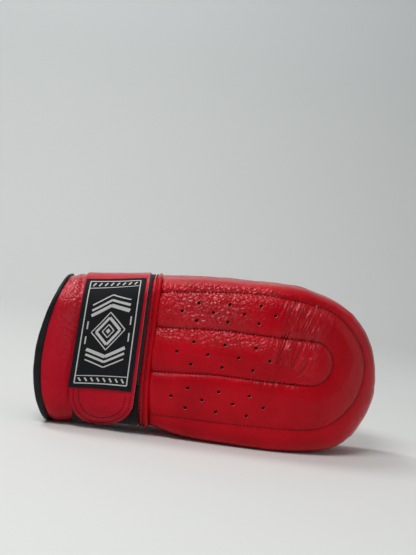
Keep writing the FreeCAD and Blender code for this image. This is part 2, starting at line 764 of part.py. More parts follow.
wall = round(LEATHER + GAP, 3)
bar_seat = skin_form("bar_seat", -GAP)
core_end = "%s + sizes.bar_end_bevel" % wall
bar_core = bar_form("bar_core_form", 0.0, core_end, {})
bar_room = bar_form("bar_room", GAP, "%s + sizes.bar_end_bevel" % LEATHER, {})
bar_outside = bar_form(
    "bar_outside", wall, 0.0, {-1: "sizes.bar_end_bevel", 1: "sizes.bar_end_bevel"}
)
flange_reach = "(sizes.bar_radius + sizes.bar_flange)"
flange_area = box(
    "flange_area",
    ("sizes.bar_x - " + flange_reach, "sizes.bar_x + " + flange_reach),
    ("sizes.palm_depth - 8", "200"),
    ("sizes.bar_inset", "sizes.hand_width - sizes.bar_inset"),
)
flange = common("flange", skin_form("flange_skin", -wall), flange_area)
cover_form = fuse("cover_form", flange, bar_outside)

sub_part("grip_bar_cover", cover_form, [bar_seat, bar_room])
sub_part("grip_bar_core", bar_core, [bar_seat])

# ---------------------------------------------------------------- cuff

cuff_foam_in = LEATHER + GAP
cuff_lining_in = cuff_foam_in + size("cuff_foam") + GAP
cuff_inside = cuff_lining_in + size("lining")
hem_trim = feature("hem_trim", hem_side(1.2))

sub_part("cuff_leather", cuff_ring("cuff_leather_ring", 0.0, LEATHER), within=[cuff_side, hem_trim])
sub_part(
    "cuff_foam",
    cuff_ring("cuff_foam_ring", cuff_foam_in, cuff_foam_in + size("cuff_foam")),
    within=[cuff_side, hem_trim],
)

tube_area = box(
    "tube_area", ("-200", "sizes.seam_x - 0.1 - sizes.lining"), ("-200", "200"), ("-50", "250")
)
lining_room = common("lining_room", feature("lining_inside", cuff_form(cuff_inside)), tube_area)
lining_outside = feature("lining_outside", cuff_form(cuff_lining_in))
sub_part("cuff_lining", lining_outside, [lining_room, cavity_form], [cuff_side, hem_trim])

binding_ring = cuff_ring("binding_ring", -size("binding_bulge"), cuff_inside + 0.6)
binding_hem = feature("binding_hem", hem_side(0.0))
binding_edge = feature("binding_edge", hem_side(size("binding")))
binding_slot = common(
    "binding_slot",
    cuff_ring("binding_slot_ring", -0.12, cuff_inside + 0.12),
    feature("binding_slot_end", hem_side(1.05)),
)
sub_part("hem_binding", binding_ring, [binding_edge, binding_slot], [binding_hem])

band_area = box(
    "band_area",
    ("sizes.seam_x - 0.1 - sizes.band_width", "sizes.seam_x - 0.1"),
    ("-200", "200"),
    ("-50", "250"),
)
sub_part("wrist_seam_band", cuff_ring("band_ring", -0.2 - size("band_thick"), -0.2), within=[band_area])

# ---------------------------------------------------------------- strap

tape_out = GAP + size("loop_tape")
hook_in = tape_out + size("joint_gap")
hook_out = hook_in + size("hook_tape")
strap_in = hook_out + 0.15
strap_out = strap_in + LEATHER
label_in = strap_out + 0.15

STRAP_SPAN = ("sizes.strap_x - sizes.strap_width / 2", "sizes.strap_x + sizes.strap_width / 2")
HINGE_GAP = "sizes.joint_gap / 2"
root_area = box(
    "root_area", STRAP_SPAN, ("sizes.strap_hinge_y + " + HINGE_GAP, "200"), ("sizes.strap_root_z", "250")
)
strap_area = box(
    "strap_area",
    STRAP_SPAN,
    ("-200", "sizes.strap_hinge_y - " + HINGE_GAP),
    ("sizes.tab_fold_z + " + HINGE_GAP, "250"),
)
below_fold = box(
    "below_fold", STRAP_SPAN, ("-200", "sizes.strap_hinge_y"), ("-50", "sizes.tab_fold_z - " + HINGE_GAP)
)
tab_disc = DOC.addObject("Part::Cylinder", "tab_disc")
tab_disc.Height = REACH / 2
tab_disc.Placement.Rotation = FreeCAD.Rotation(Vector(1, 0, 0), 90)
tab_disc.setExpression("Radius", "sizes.strap_width / 2 * 1 mm")
tab_disc.setExpression("Placement.Base.x", "sizes.strap_x * 1 mm")
tab_disc.setExpression("Placement.Base.z", "(sizes.strap_end_z + sizes.strap_width / 2) * 1 mm")
tab_area = common("tab_area", below_fold, tab_disc)
loop_area = box(
    "loop_area",
    ("sizes.strap_x - sizes.strap_width / 2", "sizes.strap_x + sizes.strap_width / 2 - 0.5"),
    ("-200", "sizes.loop_under_y"),
    ("-50", "sizes.loop_high"),
)
label_block = box(
    "label_block",
    (STRAP_SPAN[0] + " + sizes.label_margin", STRAP_SPAN[1] + " - sizes.label_margin"),
    ("-200", "sizes.strap_hinge_y"),
    ("sizes.tab_fold_z + 1.2", "sizes.label_top_z"),
)
label_area = rounded_block("label_area", label_block, size("label_round"))

leather_ring = cuff_ring("strap_leather_ring", -strap_out, -strap_in)
hook_ring = cuff_ring("hook_ring", -hook_out, -hook_in)

sub_part("loop_tape", cuff_ring("loop_ring", -tape_out, -GAP), within=[loop_area])
sub_part("strap_root_leather", leather_ring, within=[root_area])
sub_part("strap_root_webbing", cuff_ring("root_ring", -hook_out, -GAP), within=[root_area])
sub_part("strap_leather", leather_ring, within=[strap_area])
sub_part("strap_webbing", hook_ring, within=[strap_area])
patch_ring = cuff_ring("patch_ring", -label_in - size("label_thick"), -label_in)
sub_part("strap_patch", patch_ring, within=[label_area])
sub_part("tab_leather", leather_ring, within=[tab_area])
sub_part("tab_hook_tape", hook_ring, within=[tab_area])

# ---------------------------------------------------------------- thumb sheath

THUMB_START = "sizes.palm_depth + sizes.thumb_gap"


def thumb_form(label, side, near, away, bevel=True):
    """The thumb sheath's form moved in by side in plan, by near on the palm side and by away outside."""
    bevels = {}
    if bevel:
        bevels = {1: "sizes.thumb_bevel - %s" % round(side * (2 - math.sqrt(2)), 4)}
    return padded_body(
        label,
        "XZ_Plane",
        tongue_drawing(side),
        "sizes.thumb_depth - %s - %s" % (near, away),
        "%s + %s" % (THUMB_START, near),
        bevels,
    )


pad_in = wall
pad_side = round(pad_in + size("thumb_pad_side"), 3)
pad_away = round(pad_in + size("thumb_pad"), 3)
sock_side = round(pad_side + GAP, 3)
sock_away = round(pad_away + GAP, 3)
room_side = round(sock_side + size("lining"), 3)
room_near = round(pad_in + size("lining"), 3)
room_away = round(sock_away + size("lining"), 3)

sub_part(
    "thumb_leather",
    thumb_form("thumb_skin", 0.0, 0.0, 0.0),
    [thumb_form("thumb_skin_inner", LEATHER, LEATHER, LEATHER), thumb_mouth],
)
sub_part(
    "thumb_foam",
    thumb_form("thumb_pad_form", pad_in, pad_in, pad_in),
    [thumb_form("thumb_pad_core", pad_side, -5.0, pad_away, bevel=False)],
)
sub_part(
    "thumb_lining",
    thumb_form("thumb_sock", sock_side, pad_in, sock_away, bevel=False),
    [thumb_form("thumb_room", room_side, room_near, room_away, bevel=False), thumb_mouth],
)

# ---------------------------------------------------------------- placing, checking and writing out

for piece in PIECES:
    piece.setExpression("Placement.Base.x", "sizes.length_shift * 1 mm")
    piece.setExpression("Placement.Base.y", "-sizes.centre_shift * 1 mm")
DOC.recompute()

for item in DOC.Objects:
    if {"Invalid", "Error"} & set(item.State):
        raise RuntimeError("%s is not sound: %s" % (item.Label, item.State))
for piece in PIECES:
    shape = piece.Shape
    if shape.isNull() or not shape.isValid() or len(shape.Solids) != 1:
        raise RuntimeError("%s is not one sound solid" % piece.Label)

os.makedirs("parts", exist_ok=True)
for piece in PIECES:
    piece.Shape.exportStep("parts/%s.step" % piece.Label)
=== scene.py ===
"""Looks of the bag mitt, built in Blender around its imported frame.

Shapes are worked out in the glove's own millimetres: x along the hand, y from the back (-) to the palm (+),
z up to the thumb side, with y = 0 in the hand's middle plane. place() turns them into the frame's metres.
"""

import math

import bpy
import numpy as np
from mathutils import Matrix, Vector, noise


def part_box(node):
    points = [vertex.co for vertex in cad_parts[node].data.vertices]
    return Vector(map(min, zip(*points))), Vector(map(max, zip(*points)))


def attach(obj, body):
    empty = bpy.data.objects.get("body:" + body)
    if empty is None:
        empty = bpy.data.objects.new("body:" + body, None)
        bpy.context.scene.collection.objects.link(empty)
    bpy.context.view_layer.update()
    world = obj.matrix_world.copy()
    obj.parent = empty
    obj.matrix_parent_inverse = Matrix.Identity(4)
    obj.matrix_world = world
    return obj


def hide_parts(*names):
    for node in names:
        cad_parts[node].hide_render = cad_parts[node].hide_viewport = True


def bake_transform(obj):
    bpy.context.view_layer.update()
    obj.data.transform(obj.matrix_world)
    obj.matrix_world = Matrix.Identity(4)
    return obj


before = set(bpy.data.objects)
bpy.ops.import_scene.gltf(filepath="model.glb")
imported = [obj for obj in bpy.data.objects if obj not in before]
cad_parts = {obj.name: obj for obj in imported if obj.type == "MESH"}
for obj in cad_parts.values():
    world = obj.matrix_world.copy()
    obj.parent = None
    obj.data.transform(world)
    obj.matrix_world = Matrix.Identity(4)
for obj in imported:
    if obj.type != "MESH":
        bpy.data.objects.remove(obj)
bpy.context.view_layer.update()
MM = 0.001
QUARTER = math.pi / 2

# ---------------------------------------------------------------- sizes shared with the solids, in mm

SEAM_X, KNUCKLE_X, TIP_X = -60.0, 30.0, 136.0
WIDTH = 132.0
MIDDLE_Z = WIDTH / 2
TIP_R, TIP_Z = 60.0, 63.0
SHOULDER_R, HEEL_R, INDEX_R = 150.0, 430.0, 1600.0
FLAT_X = 20.0
BACK_SEAM, BACK_KNUCKLE, BACK_CURL = 33.0, 36.0, 170.0
PALM_BEND_X, PALM_Y, PALM_CURL = 40.0, 26.0, 350.0
LEATHER = 1.3

HEM_SIDE_X, HEM_BOW = -128.3, 14.8
HEM_TILT = 2.0  # the hem leans: its little-finger side reaches further back than its thumb side
CUFF_MIDDLE = 62.0
STRAP_X, STRAP_W = -87.4, 50.8
STRAP_END_Z, TAB_FOLD_Z, ROOT_Z = 4.0, 32.0, 78.0
HINGE_Y, HINGE_Z = -6.0, 128.0
BAR_X, BAR_R, BAR_Y = 67.0, 11.05, 30.5
MESH_END_X = 56.0
THUMB_X, THUMB_HALF = -27.0, 23.0
THUMB_Y0, THUMB_Y1 = 26.6, 53.4
THUMB_ROOT, THUMB_END = 127.0, 14.0

# the frame's shift of the glove's own millimetres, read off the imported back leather
BACK_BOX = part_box("back_leather")
SHIFT_X = BACK_BOX[1].x / MM - TIP_X
SHIFT_Y = BACK_BOX[0].y / MM + BACK_KNUCKLE


def place(points):
    """The glove's own millimetres as metres in the frame."""
    return (np.array(points, float) + (SHIFT_X, SHIFT_Y, 0.0)) * MM


def smooth(low, high, value):
    t = np.clip((np.asarray(value, float) - low) / (high - low), 0.0, 1.0)
    return t * t * (3 - 2 * t)


def bump(value, centre, width):
    return np.exp(-(((np.asarray(value, float) - centre) / width) ** 2))


def noise_field(points, scale, seed):
    """Smooth noise from -1 to 1 at every point; scale is one length or one per axis, in mm."""
    flat = np.asarray(points, float).reshape(-1, 3) / np.asarray(scale, float) + seed
    return np.array([noise.noise(Vector(p)) for p in flat]).reshape(np.shape(points)[:-1])


def folds(points, scale, seed, top, depth):
    """Narrow ridges where the noise crosses zero: top high, and falling off by depth away from them."""
    return top - depth * np.abs(noise_field(points, scale, seed))


# ---------------------------------------------------------------- meshes from grids of points


def grid_normals(points, wrap_u=False, wrap_v=False):
    """Unit normals of a grid of points, by central differences."""

    def gradient(axis, wrap):
        if wrap:
            return np.roll(points, -1, axis) - np.roll(points, 1, axis)
        return np.gradient(points, axis=axis)

    normals = np.cross(gradient(0, wrap_u), gradient(1, wrap_v))
    return normals / np.maximum(np.linalg.norm(normals, axis=-1, keepdims=True), 1e-9)


def outward(points, toward, wrap_u=False, wrap_v=False):
    """A grid's normals on the side that toward points to, and whether its faces must be turned to match."""
    normals = grid_normals(points, wrap_u, wrap_v)
    flip = bool((normals * toward).sum() < 0)
    return -normals if flip else normals, flip


def from_axis(points):
    """Directions away from the cuff's middle line."""
    return points * (0, 1, 1) - (0, 0, CUFF_MIDDLE)


def raised(points, normals, height):
    return points + normals * height[..., None]


def grid_quads(rows, columns, wrap_u=False, wrap_v=False, start=0, flip=False):
    u = np.arange(rows if wrap_u else rows - 1)
    v = np.arange(columns if wrap_v else columns - 1)
    u, v = np.meshgrid(u, v, indexing="ij")
    u2, v2 = (u + 1) % rows, (v + 1) % columns
    quads = np.stack([u * columns + v, u2 * columns + v, u2 * columns + v2, u * columns + v2], -1)
    quads = quads.reshape(-1, 4) + start
    return (quads[:, ::-1] if flip else quads).tolist()


def build(name, points, faces, materials, kinds=None, extra=None):
    """A smooth mesh object; points in glove mm, kinds the material index of each face."""
    mesh = bpy.data.meshes.new(name)
    mesh.from_pydata(place(points).tolist(), [], faces)
    mesh.update()
    for used in materials:
        mesh.materials.append(used)
    mesh.polygons.foreach_set("material_index", np.asarray(kinds or [0] * len(faces), np.int32))
    mesh.shade_smooth()
    mesh.set_sharp_from_angle(angle=math.radians(48))
    for label, values in (extra or {}).items():
        layer = mesh.attributes.new(label, "FLOAT", "POINT")
        layer.data.foreach_set("value", np.asarray(values, np.float32).ravel())
    made = bpy.data.objects.new(name, mesh)
    bpy.context.scene.collection.objects.link(made)
    keep_rest(made)
    return made


def keep_rest(made):
    """Keeps each point's place at rest, which the materials read, so that nothing slides when it bends."""
    mesh = made.data
    layer = mesh.attributes.get("rest") or mesh.attributes.new("rest", "FLOAT_VECTOR", "POINT")
    co = np.zeros(len(mesh.vertices) * 3, np.float32)
    mesh.vertices.foreach_get("co", co)
    layer.data.foreach_set("vector", co)


def sheet(name, outer, inner, faces, materials, extra=None):
    """A closed sheet of leather, cloth or tape between outer and inner points, with walls along its borders.

    materials are those of the outer face, the cut edge and the inner face.
    """
    count = len(outer)
    borders = {}
    for face in faces:
        for a, b in zip(face, face[1:] + face[:1]):
            if borders.pop((b, a), None) is None:
                borders[(a, b)] = True
    walls = [[b, a, a + count, b + count] for a, b in borders]
    inner_faces = [[v + count for v in reversed(face)] for face in faces]
    kinds = [0] * len(faces) + [2] * len(inner_faces) + [1] * len(walls)
    both = {label: np.tile(np.ravel(values), 2) for label, values in (extra or {}).items()}
    return build(name, np.concatenate([outer, inner]), faces + inner_faces + walls, materials, kinds, both)


def sheet_of(name, points, thick, materials, wrap_v=False, extra=None, flip=False, flare=()):
    """A closed sheet whose outer face is the grid points, and whose thickness goes inward.

    flare names the borders whose cut edge slopes outward, as (axis, end) pairs, so that the pale edge shows.
    """
    inner = points - grid_normals(points, False, wrap_v) * (-thick if flip else thick)
    for axis, end in flare:
        line = np.moveaxis(points, axis, 0)
        past = line[end] - line[1 if end == 0 else -2]
        past /= np.maximum(np.linalg.norm(past, axis=-1, keepdims=True), 1e-9)
        np.moveaxis(inner, axis, 0)[end] += past * 1.1
    faces = grid_quads(*points.shape[:2], False, wrap_v, 0, flip)
    return sheet(name, points.reshape(-1, 3), inner.reshape(-1, 3), faces, materials, extra)


def settle(made, body, slot, *replaced, fill=None):
    """Parents a piece to the body that it rides on, or leaves it unparented when body is a bend between two
    bodies, and hides the nodes it stands for; slot and fill are not used.
    """
    if isinstance(body, str):
        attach(made, body)
    else:
        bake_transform(made)
    if replaced:
        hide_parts(*replaced)
    return made


# the folds that pieces bend at: the bodies on each side, and where the bend starts and ends
BEND_HALF = 9.0  # how far the strap's bend reaches on each side of its hinge
THUMB_BEND = 21.0  # how far down from its root the thumb sheath's leather gives
STRAP_HINGE = "glove", "strap", (STRAP_X, HINGE_Y + BEND_HALF, HINGE_Z), (STRAP_X, HINGE_Y - BEND_HALF, HINGE_Z)
TAB_HINGE = "strap", "pull_tab", (STRAP_X, -42.0, TAB_FOLD_Z + 2.0), (STRAP_X, -42.0, TAB_FOLD_Z - 4.0)
THUMB_HINGE = "glove", "thumb", (THUMB_X, 30.0, THUMB_ROOT), (THUMB_X, 30.0, THUMB_ROOT - THUMB_BEND)

# ---------------------------------------------------------------- plan outline of the hand


def tangent_centre(edge_z, side):
    """Centre of the arc that leads from one side of the hand into the tip."""
    centre_z = edge_z - side * SHOULDER_R
    return TIP_X - TIP_R - math.sqrt((SHOULDER_R - TIP_R) ** 2 - (TIP_Z - centre_z) ** 2), centre_z


HIGH, LOW = tangent_centre(WIDTH, 1), tangent_centre(0.0, -1)
HIGH_TURN, LOW_TURN = (math.atan2(TIP_Z - z, TIP_X - TIP_R - x) for x, z in (HIGH, LOW))
COUNTS = (120, 56, 150, 40, 46, 112)  # spans of each stretch of the outline, from the thumb side round the tip
SEGMENT = np.concatenate([np.full(n, k) for k, n in enumerate(COUNTS)] + [[5]])
SHARE = np.concatenate([np.arange(n) / n for n in COUNTS] + [[1.0]])
STATIONS = len(SEGMENT)


def plain_plan(inset):
    """x and z of every station of the solid's outline moved in by inset, which may differ by station."""
    d = np.broadcast_to(np.asarray(inset, float), np.broadcast_shapes(np.shape(inset), (STATIONS,)))
    x, z = np.zeros(d.shape), np.zeros(d.shape)
    index_end = np.arcsin((HIGH[0] - SEAM_X) / (INDEX_R - d))
    heel_end = np.arcsin((FLAT_X - SEAM_X) / (HEEL_R - d))
    arcs = (
        (HIGH[0], WIDTH - INDEX_R, INDEX_R, QUARTER + index_end, QUARTER),
        (*HIGH, SHOULDER_R, QUARTER, HIGH_TURN),
        (TIP_X - TIP_R, TIP_Z, TIP_R, HIGH_TURN, LOW_TURN),
        (*LOW, SHOULDER_R, LOW_TURN, -QUARTER),
        None,
        (FLAT_X, HEEL_R, HEEL_R, -QUARTER, -QUARTER - heel_end),
    )
    for number, arc in enumerate(arcs):
        part = SEGMENT == number
        share, depth = SHARE[part], d[..., part]
        if arc is None:  # the straight little-finger edge
            x[..., part] = LOW[0] + (FLAT_X - LOW[0]) * share
            z[..., part] = depth
            continue
        centre_x, centre_z, radius, first, last = arc
        first, last = (np.broadcast_to(end, d.shape)[..., part] for end in (first, last))
        angle = first + (last - first) * share
        x[..., part] = centre_x + (radius - depth) * np.cos(angle)
        z[..., part] = centre_z + (radius - depth) * np.sin(angle)
    return x, z


def swelling():
    """How far the padding pushes the outline out at each station: fullest at the tip's two corners."""
    x, z = plain_plan(0.0)
    turn = np.degrees(np.arctan2(z - 65.0, x - 70.0))
    grown = 4.2 * bump(turn, -57, 18) + 3.6 * bump(turn, -28, 26) + 3.2 * bump(turn, 70, 26) + 0.5
    thumb_side = np.arange(STATIONS) < int(np.argmax(x))
    index = 1.3 * smooth(5, 38, x) * (1 - smooth(60, 85, x)) - 2.0 * (1 - smooth(-55, 5, x))
    return grown * smooth(15, 60, x) + thumb_side * index


SWELL = swelling()


def plan(inset):
    """x and z of every station of the padded outline moved in by inset."""
    inset = np.asarray(inset, float)
    return plain_plan(inset - SWELL * (1 - np.clip(inset / 45.0, 0, 1)))


def leaned(points):
    """The wrist seam leans: it lies further up the hand on the little-finger side."""
    points = np.array(points, float)
    x, z = points[..., 0], points[..., 2]
    lean = 5.6 + 5.2 * np.clip((MIDDLE_Z - z) / MIDDLE_Z, 0, 1.1) ** 2
    points[..., 0] = x + lean * smooth(-84, -66, x) * (1 - smooth(-57, -20, x))
    return points


EDGE_X = plan(0.0)[0]


def side_z(x, top, inset=0.0):
    """Height of the outline's thumb side (top) or little-finger side at x, moved in by inset."""
    px, pz = plan(inset)
    peak = int(np.argmax(px))
    if top:
        return np.interp(x, px[: peak + 1], pz[: peak + 1])
    return np.interp(x, px[peak:][::-1], pz[peak:][::-1])


def back_y(x):
    """The back of the hand, before its quilting."""
    slope = math.atan2(BACK_SEAM - BACK_KNUCKLE, KNUCKLE_X - SEAM_X)
    flat = -BACK_SEAM + (x - SEAM_X) * math.tan(slope)
    centre_x = KNUCKLE_X - BACK_CURL * math.sin(slope)
    centre_y = -BACK_KNUCKLE + BACK_CURL * math.cos(slope)
    curl = centre_y - np.sqrt(np.maximum(BACK_CURL**2 - (x - centre_x) ** 2, 1.0))
    return np.where(x < KNUCKLE_X, flat, curl)


def palm_y(x):
    return PALM_Y + PALM_CURL - np.sqrt(PALM_CURL**2 - np.maximum(x - PALM_BEND_X, 0.0) ** 2)


def corner_r(x):
    """Rounding between the palm and the sides, tighter towards the fingertips."""
    return 10.0 - 4.6 * smooth(-10.0, 62.0, x)


def settled(points):
    """Flattens what would hang below the table, where the glove rests on it."""
    points[..., 2] = np.where(points[..., 2] < 0.4, 0.4 + 0.12 * (points[..., 2] - 0.4), points[..., 2])
    return points


# ---------------------------------------------------------------- materials


class Nodes:
    """A node material: plain numbers on its Principled shader, and short-hand for wiring what varies."""

    def __init__(self, name, colour, roughness, **settings):
        self.made = bpy.data.materials.new(name)
        self.made.use_nodes = True
        self.made.diffuse_color = (*colour, 1)
        self.tree = self.made.node_tree
        self.shader = self.tree.nodes["Principled BSDF"]
        self.shader.inputs["Base Color"].default_value = (*colour, 1)
        self.shader.inputs["Roughness"].default_value = roughness
        for label, value in settings.items():
            self.shader.inputs[label.replace("_", " ")].default_value = value
        self.rest = self.add("ShaderNodeAttribute", attribute_name="rest").outputs["Vector"]

    def add(self, kind, inputs=None, **settings):
        node = self.tree.nodes.new(kind)
        for label, value in settings.items():
            setattr(node, label, value)
        for label, value in (inputs or {}).items():
            self.feed(node.inputs[label], value)
        return node

    def feed(self, socket, value):
        if isinstance(value, bpy.types.NodeSocket):
            self.tree.links.new(value, socket)
        else:
            socket.default_value = value

    def link(self, output, label):
        self.tree.links.new(output, self.shader.inputs[label])

    def noise(self, scale, detail=2.0, vector=None, rough=0.5, distort=0.0, out="Fac"):
        inputs = {"Vector": vector or self.rest, "Scale": scale, "Detail": detail, "Roughness": rough}
        return self.add("ShaderNodeTexNoise", {**inputs, "Distortion": distort}).outputs[out]

    def cells(self, scale, feature="DISTANCE_TO_EDGE", vector=None):
        inputs = {"Vector": vector or self.rest, "Scale": scale}
        return self.add("ShaderNodeTexVoronoi", inputs, feature=feature).outputs["Distance"]

    def xyz(self, vector=None):
        return self.add("ShaderNodeSeparateXYZ", {0: vector or self.rest}).outputs

    def math(self, operation, a, b=0.0):
        return self.add("ShaderNodeMath", {0: a, 1: b}, operation=operation).outputs[0]

    def times(self, a, b):
        return self.math("MULTIPLY", a, b)

    def ramp(self, value, low, high, out_low=0.0, out_high=1.0):
        inputs = {"Value": value, "From Min": low, "From Max": high, "To Min": out_low, "To Max": out_high}
        return self.add("ShaderNodeMapRange", inputs).outputs[0]

    def mix(self, share, a, b):
        node = self.add("ShaderNodeMix", data_type="RGBA")
        for socket, value in zip((0, 6, 7), (share, a, b)):
            self.feed(node.inputs[socket], (*value, 1) if isinstance(value, tuple) else value)
        return node.outputs[2]

    def attribute(self, label):
        return self.add("ShaderNodeAttribute", attribute_name=label).outputs["Fac"]

    def bump(self, height, distance, strength=1.0, under=None):
        inputs = {"Height": height, "Distance": distance, "Strength": strength}
        return self.add("ShaderNodeBump", inputs | ({"Normal": under} if under else {})).outputs[0]


RED = (0.49, 0.0012, 0.0070)
DEEP_RED = (0.33, 0.0005, 0.0045)
BRIGHT_RED = (0.56, 0.0030, 0.0110)
# painted shade: the dark red that the stitch grooves and the wrist seam are darkened towards
GROOVE_SHADE_RED = (0.13, 0.0003, 0.0020)
DYE = (1.0, 0.21, 0.28)  # the dyed finish colours its own reflections


def red_leather(name, gloss=0.05, slack=1.0, tones=(DEEP_RED, RED, BRIGHT_RED), shine=0.4):
    """Full-grain glossy red leather: fine pebbled grain, drawn wrinkles where it bends, painted shade along
    stitch lines and the seam.
    """
    deep, usual, bright = tones
    n = Nodes(name, usual, 0.36, Coat_Weight=gloss, Coat_Roughness=0.2, Specular_IOR_Level=shine,
              Specular_Tint=(*DYE, 1))
    tone = n.mix(0.45, n.mix(n.ramp(n.noise(24.0, 3.0), 0.36, 0.66), deep, bright), usual)
    # painted shade: the colour darkens towards the dark red in the stitch grooves and the seam's dip
    n.link(n.mix(n.ramp(n.attribute("groove_and_shade"), 0.2, 1.0, 0.0, 0.14), tone, GROOVE_SHADE_RED), "Base Color")
    n.link(n.ramp(n.noise(55.0, 4.0), 0.3, 0.7, 0.26, 0.40), "Roughness")
    wander = {0: n.noise(160.0, out="Color"), "Scale": 0.004}
    shift = n.add("ShaderNodeVectorMath", wander, operation="SCALE").outputs[0]
    drifting = n.add("ShaderNodeVectorMath", {0: n.rest, 1: shift}, operation="ADD").outputs[0]
    grain = n.bump(n.ramp(n.cells(1000.0, vector=drifting), 0.0, 0.3), 0.00012, 0.45)
    # slack leather crinkles in small cells, a little everywhere and more where it is loose
    cells = n.ramp(n.cells(245.0, vector=drifting), 0.0, 0.30)
    amount = n.ramp(n.attribute("loose"), 0.0, 1.0, 0.06, 0.85)
    crinkled = n.bump(cells, 0.0009 * slack, amount, grain)
    # drawn wrinkles across the finger bend
    x, y, z = n.xyz()
    slant = n.math("SUBTRACT", x, n.times(z, 0.27))
    leaning = n.add("ShaderNodeCombineXYZ", {0: slant, 1: n.times(y, 0.2), 2: n.times(z, 0.17)}).outputs[0]
    lines = n.math("ABSOLUTE", n.math("SUBTRACT", n.noise(210.0, 1.5, leaning, 0.4, 0.4), 0.5))
    ridges = n.math("POWER", n.ramp(lines, 0.0, 0.13, 1.0, 0.0), 1.6)
    drawn = n.bump(ridges, 0.0009, n.attribute("bend"), crinkled)
    skin = n.bump(n.noise(120.0, 3.0), 0.0009 * slack, 0.4, drawn)
    n.link(skin, "Normal")
    n.link(skin, "Coat Normal")
    # stretched and handled leather shines where it is slack or bends
    rubbed = n.math("MAXIMUM", n.attribute("loose"), n.times(n.attribute("bend"), 0.5))
    n.link(n.ramp(rubbed, 0.1, 0.8, gloss, gloss + 0.55), "Coat Weight")
    return n.made


def fibre_edge(name):
    """The pale pink cut edge and flesh side of the leather."""
    n = Nodes(name, (0.66, 0.34, 0.36), 0.85, Sheen_Weight=0.3)
    fuzz = n.noise(1400.0, 3.0)
    n.link(n.mix(n.ramp(fuzz, 0.35, 0.7), (0.55, 0.20, 0.23), (0.80, 0.52, 0.53)), "Base Color")
    n.link(n.bump(fuzz, 0.0003, 0.7), "Normal")
    return n.made


def smooth_black(name):
    """Satin black binding, slightly stretched round the hem."""
    n = Nodes(name, (0.006, 0.007, 0.009), 0.42, Specular_IOR_Level=0.2)
    n.link(n.mix(n.ramp(n.noise(70.0), 0.3, 0.7), (0.004, 0.005, 0.006), (0.012, 0.013, 0.016)), "Base Color")
    n.link(n.ramp(n.noise(160.0, 3.0), 0.3, 0.7, 0.36, 0.52), "Roughness")
    n.link(n.bump(n.cells(1500.0), 0.0001, 0.5, n.bump(n.noise(260.0), 0.0006, 0.4)), "Normal")
    return n.made


def woven(name, dark, light, pitch, roughness=0.8, sheen=0.2, depth=0.00025):
    """Plain woven cloth or webbing: warp and weft ribs pitch metres apart."""
    n = Nodes(name, dark, roughness, Sheen_Weight=sheen, Sheen_Roughness=0.5, Specular_IOR_Level=0.25)
    x, _, z = n.xyz()
    across, along = (n.math("SINE", n.times(axis, 2 * math.pi / pitch)) for axis in (x, z))
    weave = n.times(across, along)
    ribs = n.math("MAXIMUM", n.math("ABSOLUTE", across), n.math("ABSOLUTE", along))
    n.link(n.mix(n.ramp(weave, -1.0, 1.0), dark, light), "Base Color")
    n.link(n.bump(n.math("ADD", weave, n.times(ribs, 0.4)), depth, 0.6), "Normal")
    return n.made


def spacer_mesh(name, row_pitch=0.0036, hole_pitch=0.0064):
    """Black spacer mesh: rows of staggered oval holes in a matt knit."""
    n = Nodes(name, (0.006, 0.007, 0.009), 0.72, Sheen_Weight=0.12, Sheen_Roughness=0.4, Specular_IOR_Level=0.3)
    x, _, z = n.xyz()
    row = n.math("DIVIDE", x, row_pitch)
    odd = n.math("MODULO", n.math("FLOOR", row), 2.0)
    column = n.math("ADD", n.math("DIVIDE", z, hole_pitch), n.times(odd, 0.5))
    a, b = (n.math("SUBTRACT", n.math("FRACT", line), 0.5) for line in (row, column))
    rim = n.ramp(n.math("ADD", n.times(n.times(a, a), 7.5), n.times(n.times(b, b), 6.5)), 0.55, 1.25)
    n.link(n.mix(rim, (0.0010, 0.0010, 0.0014), (0.012, 0.013, 0.017)), "Base Color")
    n.link(n.bump(n.noise(1800.0), 0.0002, 0.5, n.bump(rim, 0.0011)), "Normal")
    return n.made


def fuzzy(name, colour, scale, light, dark, depth, strength, roughness, **settings):
    """Hook and loop tape, or open-cell foam: round cells, paler in their middles."""
    n = Nodes(name, colour, roughness, **settings)
    cell = n.cells(scale, "F1")
    n.link(n.mix(n.ramp(cell, 0.1, 0.6), light, dark), "Base Color")
    n.link(n.bump(cell, depth, strength), "Normal")
    return n.made


def thread(name, colour):
    n = Nodes(name, colour, 0.7, Specular_IOR_Level=0.2)
    twist = n.noise(2600.0)
    n.link(n.mix(n.ramp(twist, 0.35, 0.65), colour, tuple(c * 2.0 + 0.003 for c in colour)), "Base Color")
    n.link(n.bump(twist, 0.0002, 0.6), "Normal")
    return n.made


STRAP_TONES = ((0.38, 0.002, 0.010), (0.47, 0.004, 0.016), (0.54, 0.008, 0.024))
FOAM = (0.004, 0.004, 0.005)
SHELL = red_leather("red_leather_shell")
STRAP_RED = red_leather("red_leather_strap", 0.03, 0.55, STRAP_TONES, 0.45)
PALM_RED = red_leather("red_leather_palm", 0.07, 0.8)
EDGE = fibre_edge("raw_leather_edge")
BINDING = smooth_black("black_binding_vinyl")
LINING = woven("black_lining_cloth", (0.006, 0.006, 0.008), (0.022, 0.022, 0.026), 0.0012)
WEBBING = woven("black_webbing", (0.004, 0.004, 0.005), (0.018, 0.018, 0.021), 0.0016, sheen=0.1)
PATCH = woven("black_patch_satin", (0.0012, 0.0018, 0.0034), (0.004, 0.005, 0.008), 0.0007, 0.7, 0.0, 0.0001)
PRINT = woven("white_print", (0.52, 0.52, 0.51), (0.66, 0.66, 0.65), 0.0007, 0.7, 0.0, 0.0001)
MESH = spacer_mesh("black_spacer_mesh")
TAPE = fuzzy(
    "black_hook_tape", (0.005, 0.005, 0.006), 900.0, (0.012, 0.012, 0.014), (0.002, 0.002, 0.003),
    0.0008, 0.9, 0.9, Sheen_Weight=0.12, Sheen_Roughness=0.5, Specular_IOR_Level=0.2,
)
THREAD = thread("dark_thread", (0.016, 0.003, 0.005))
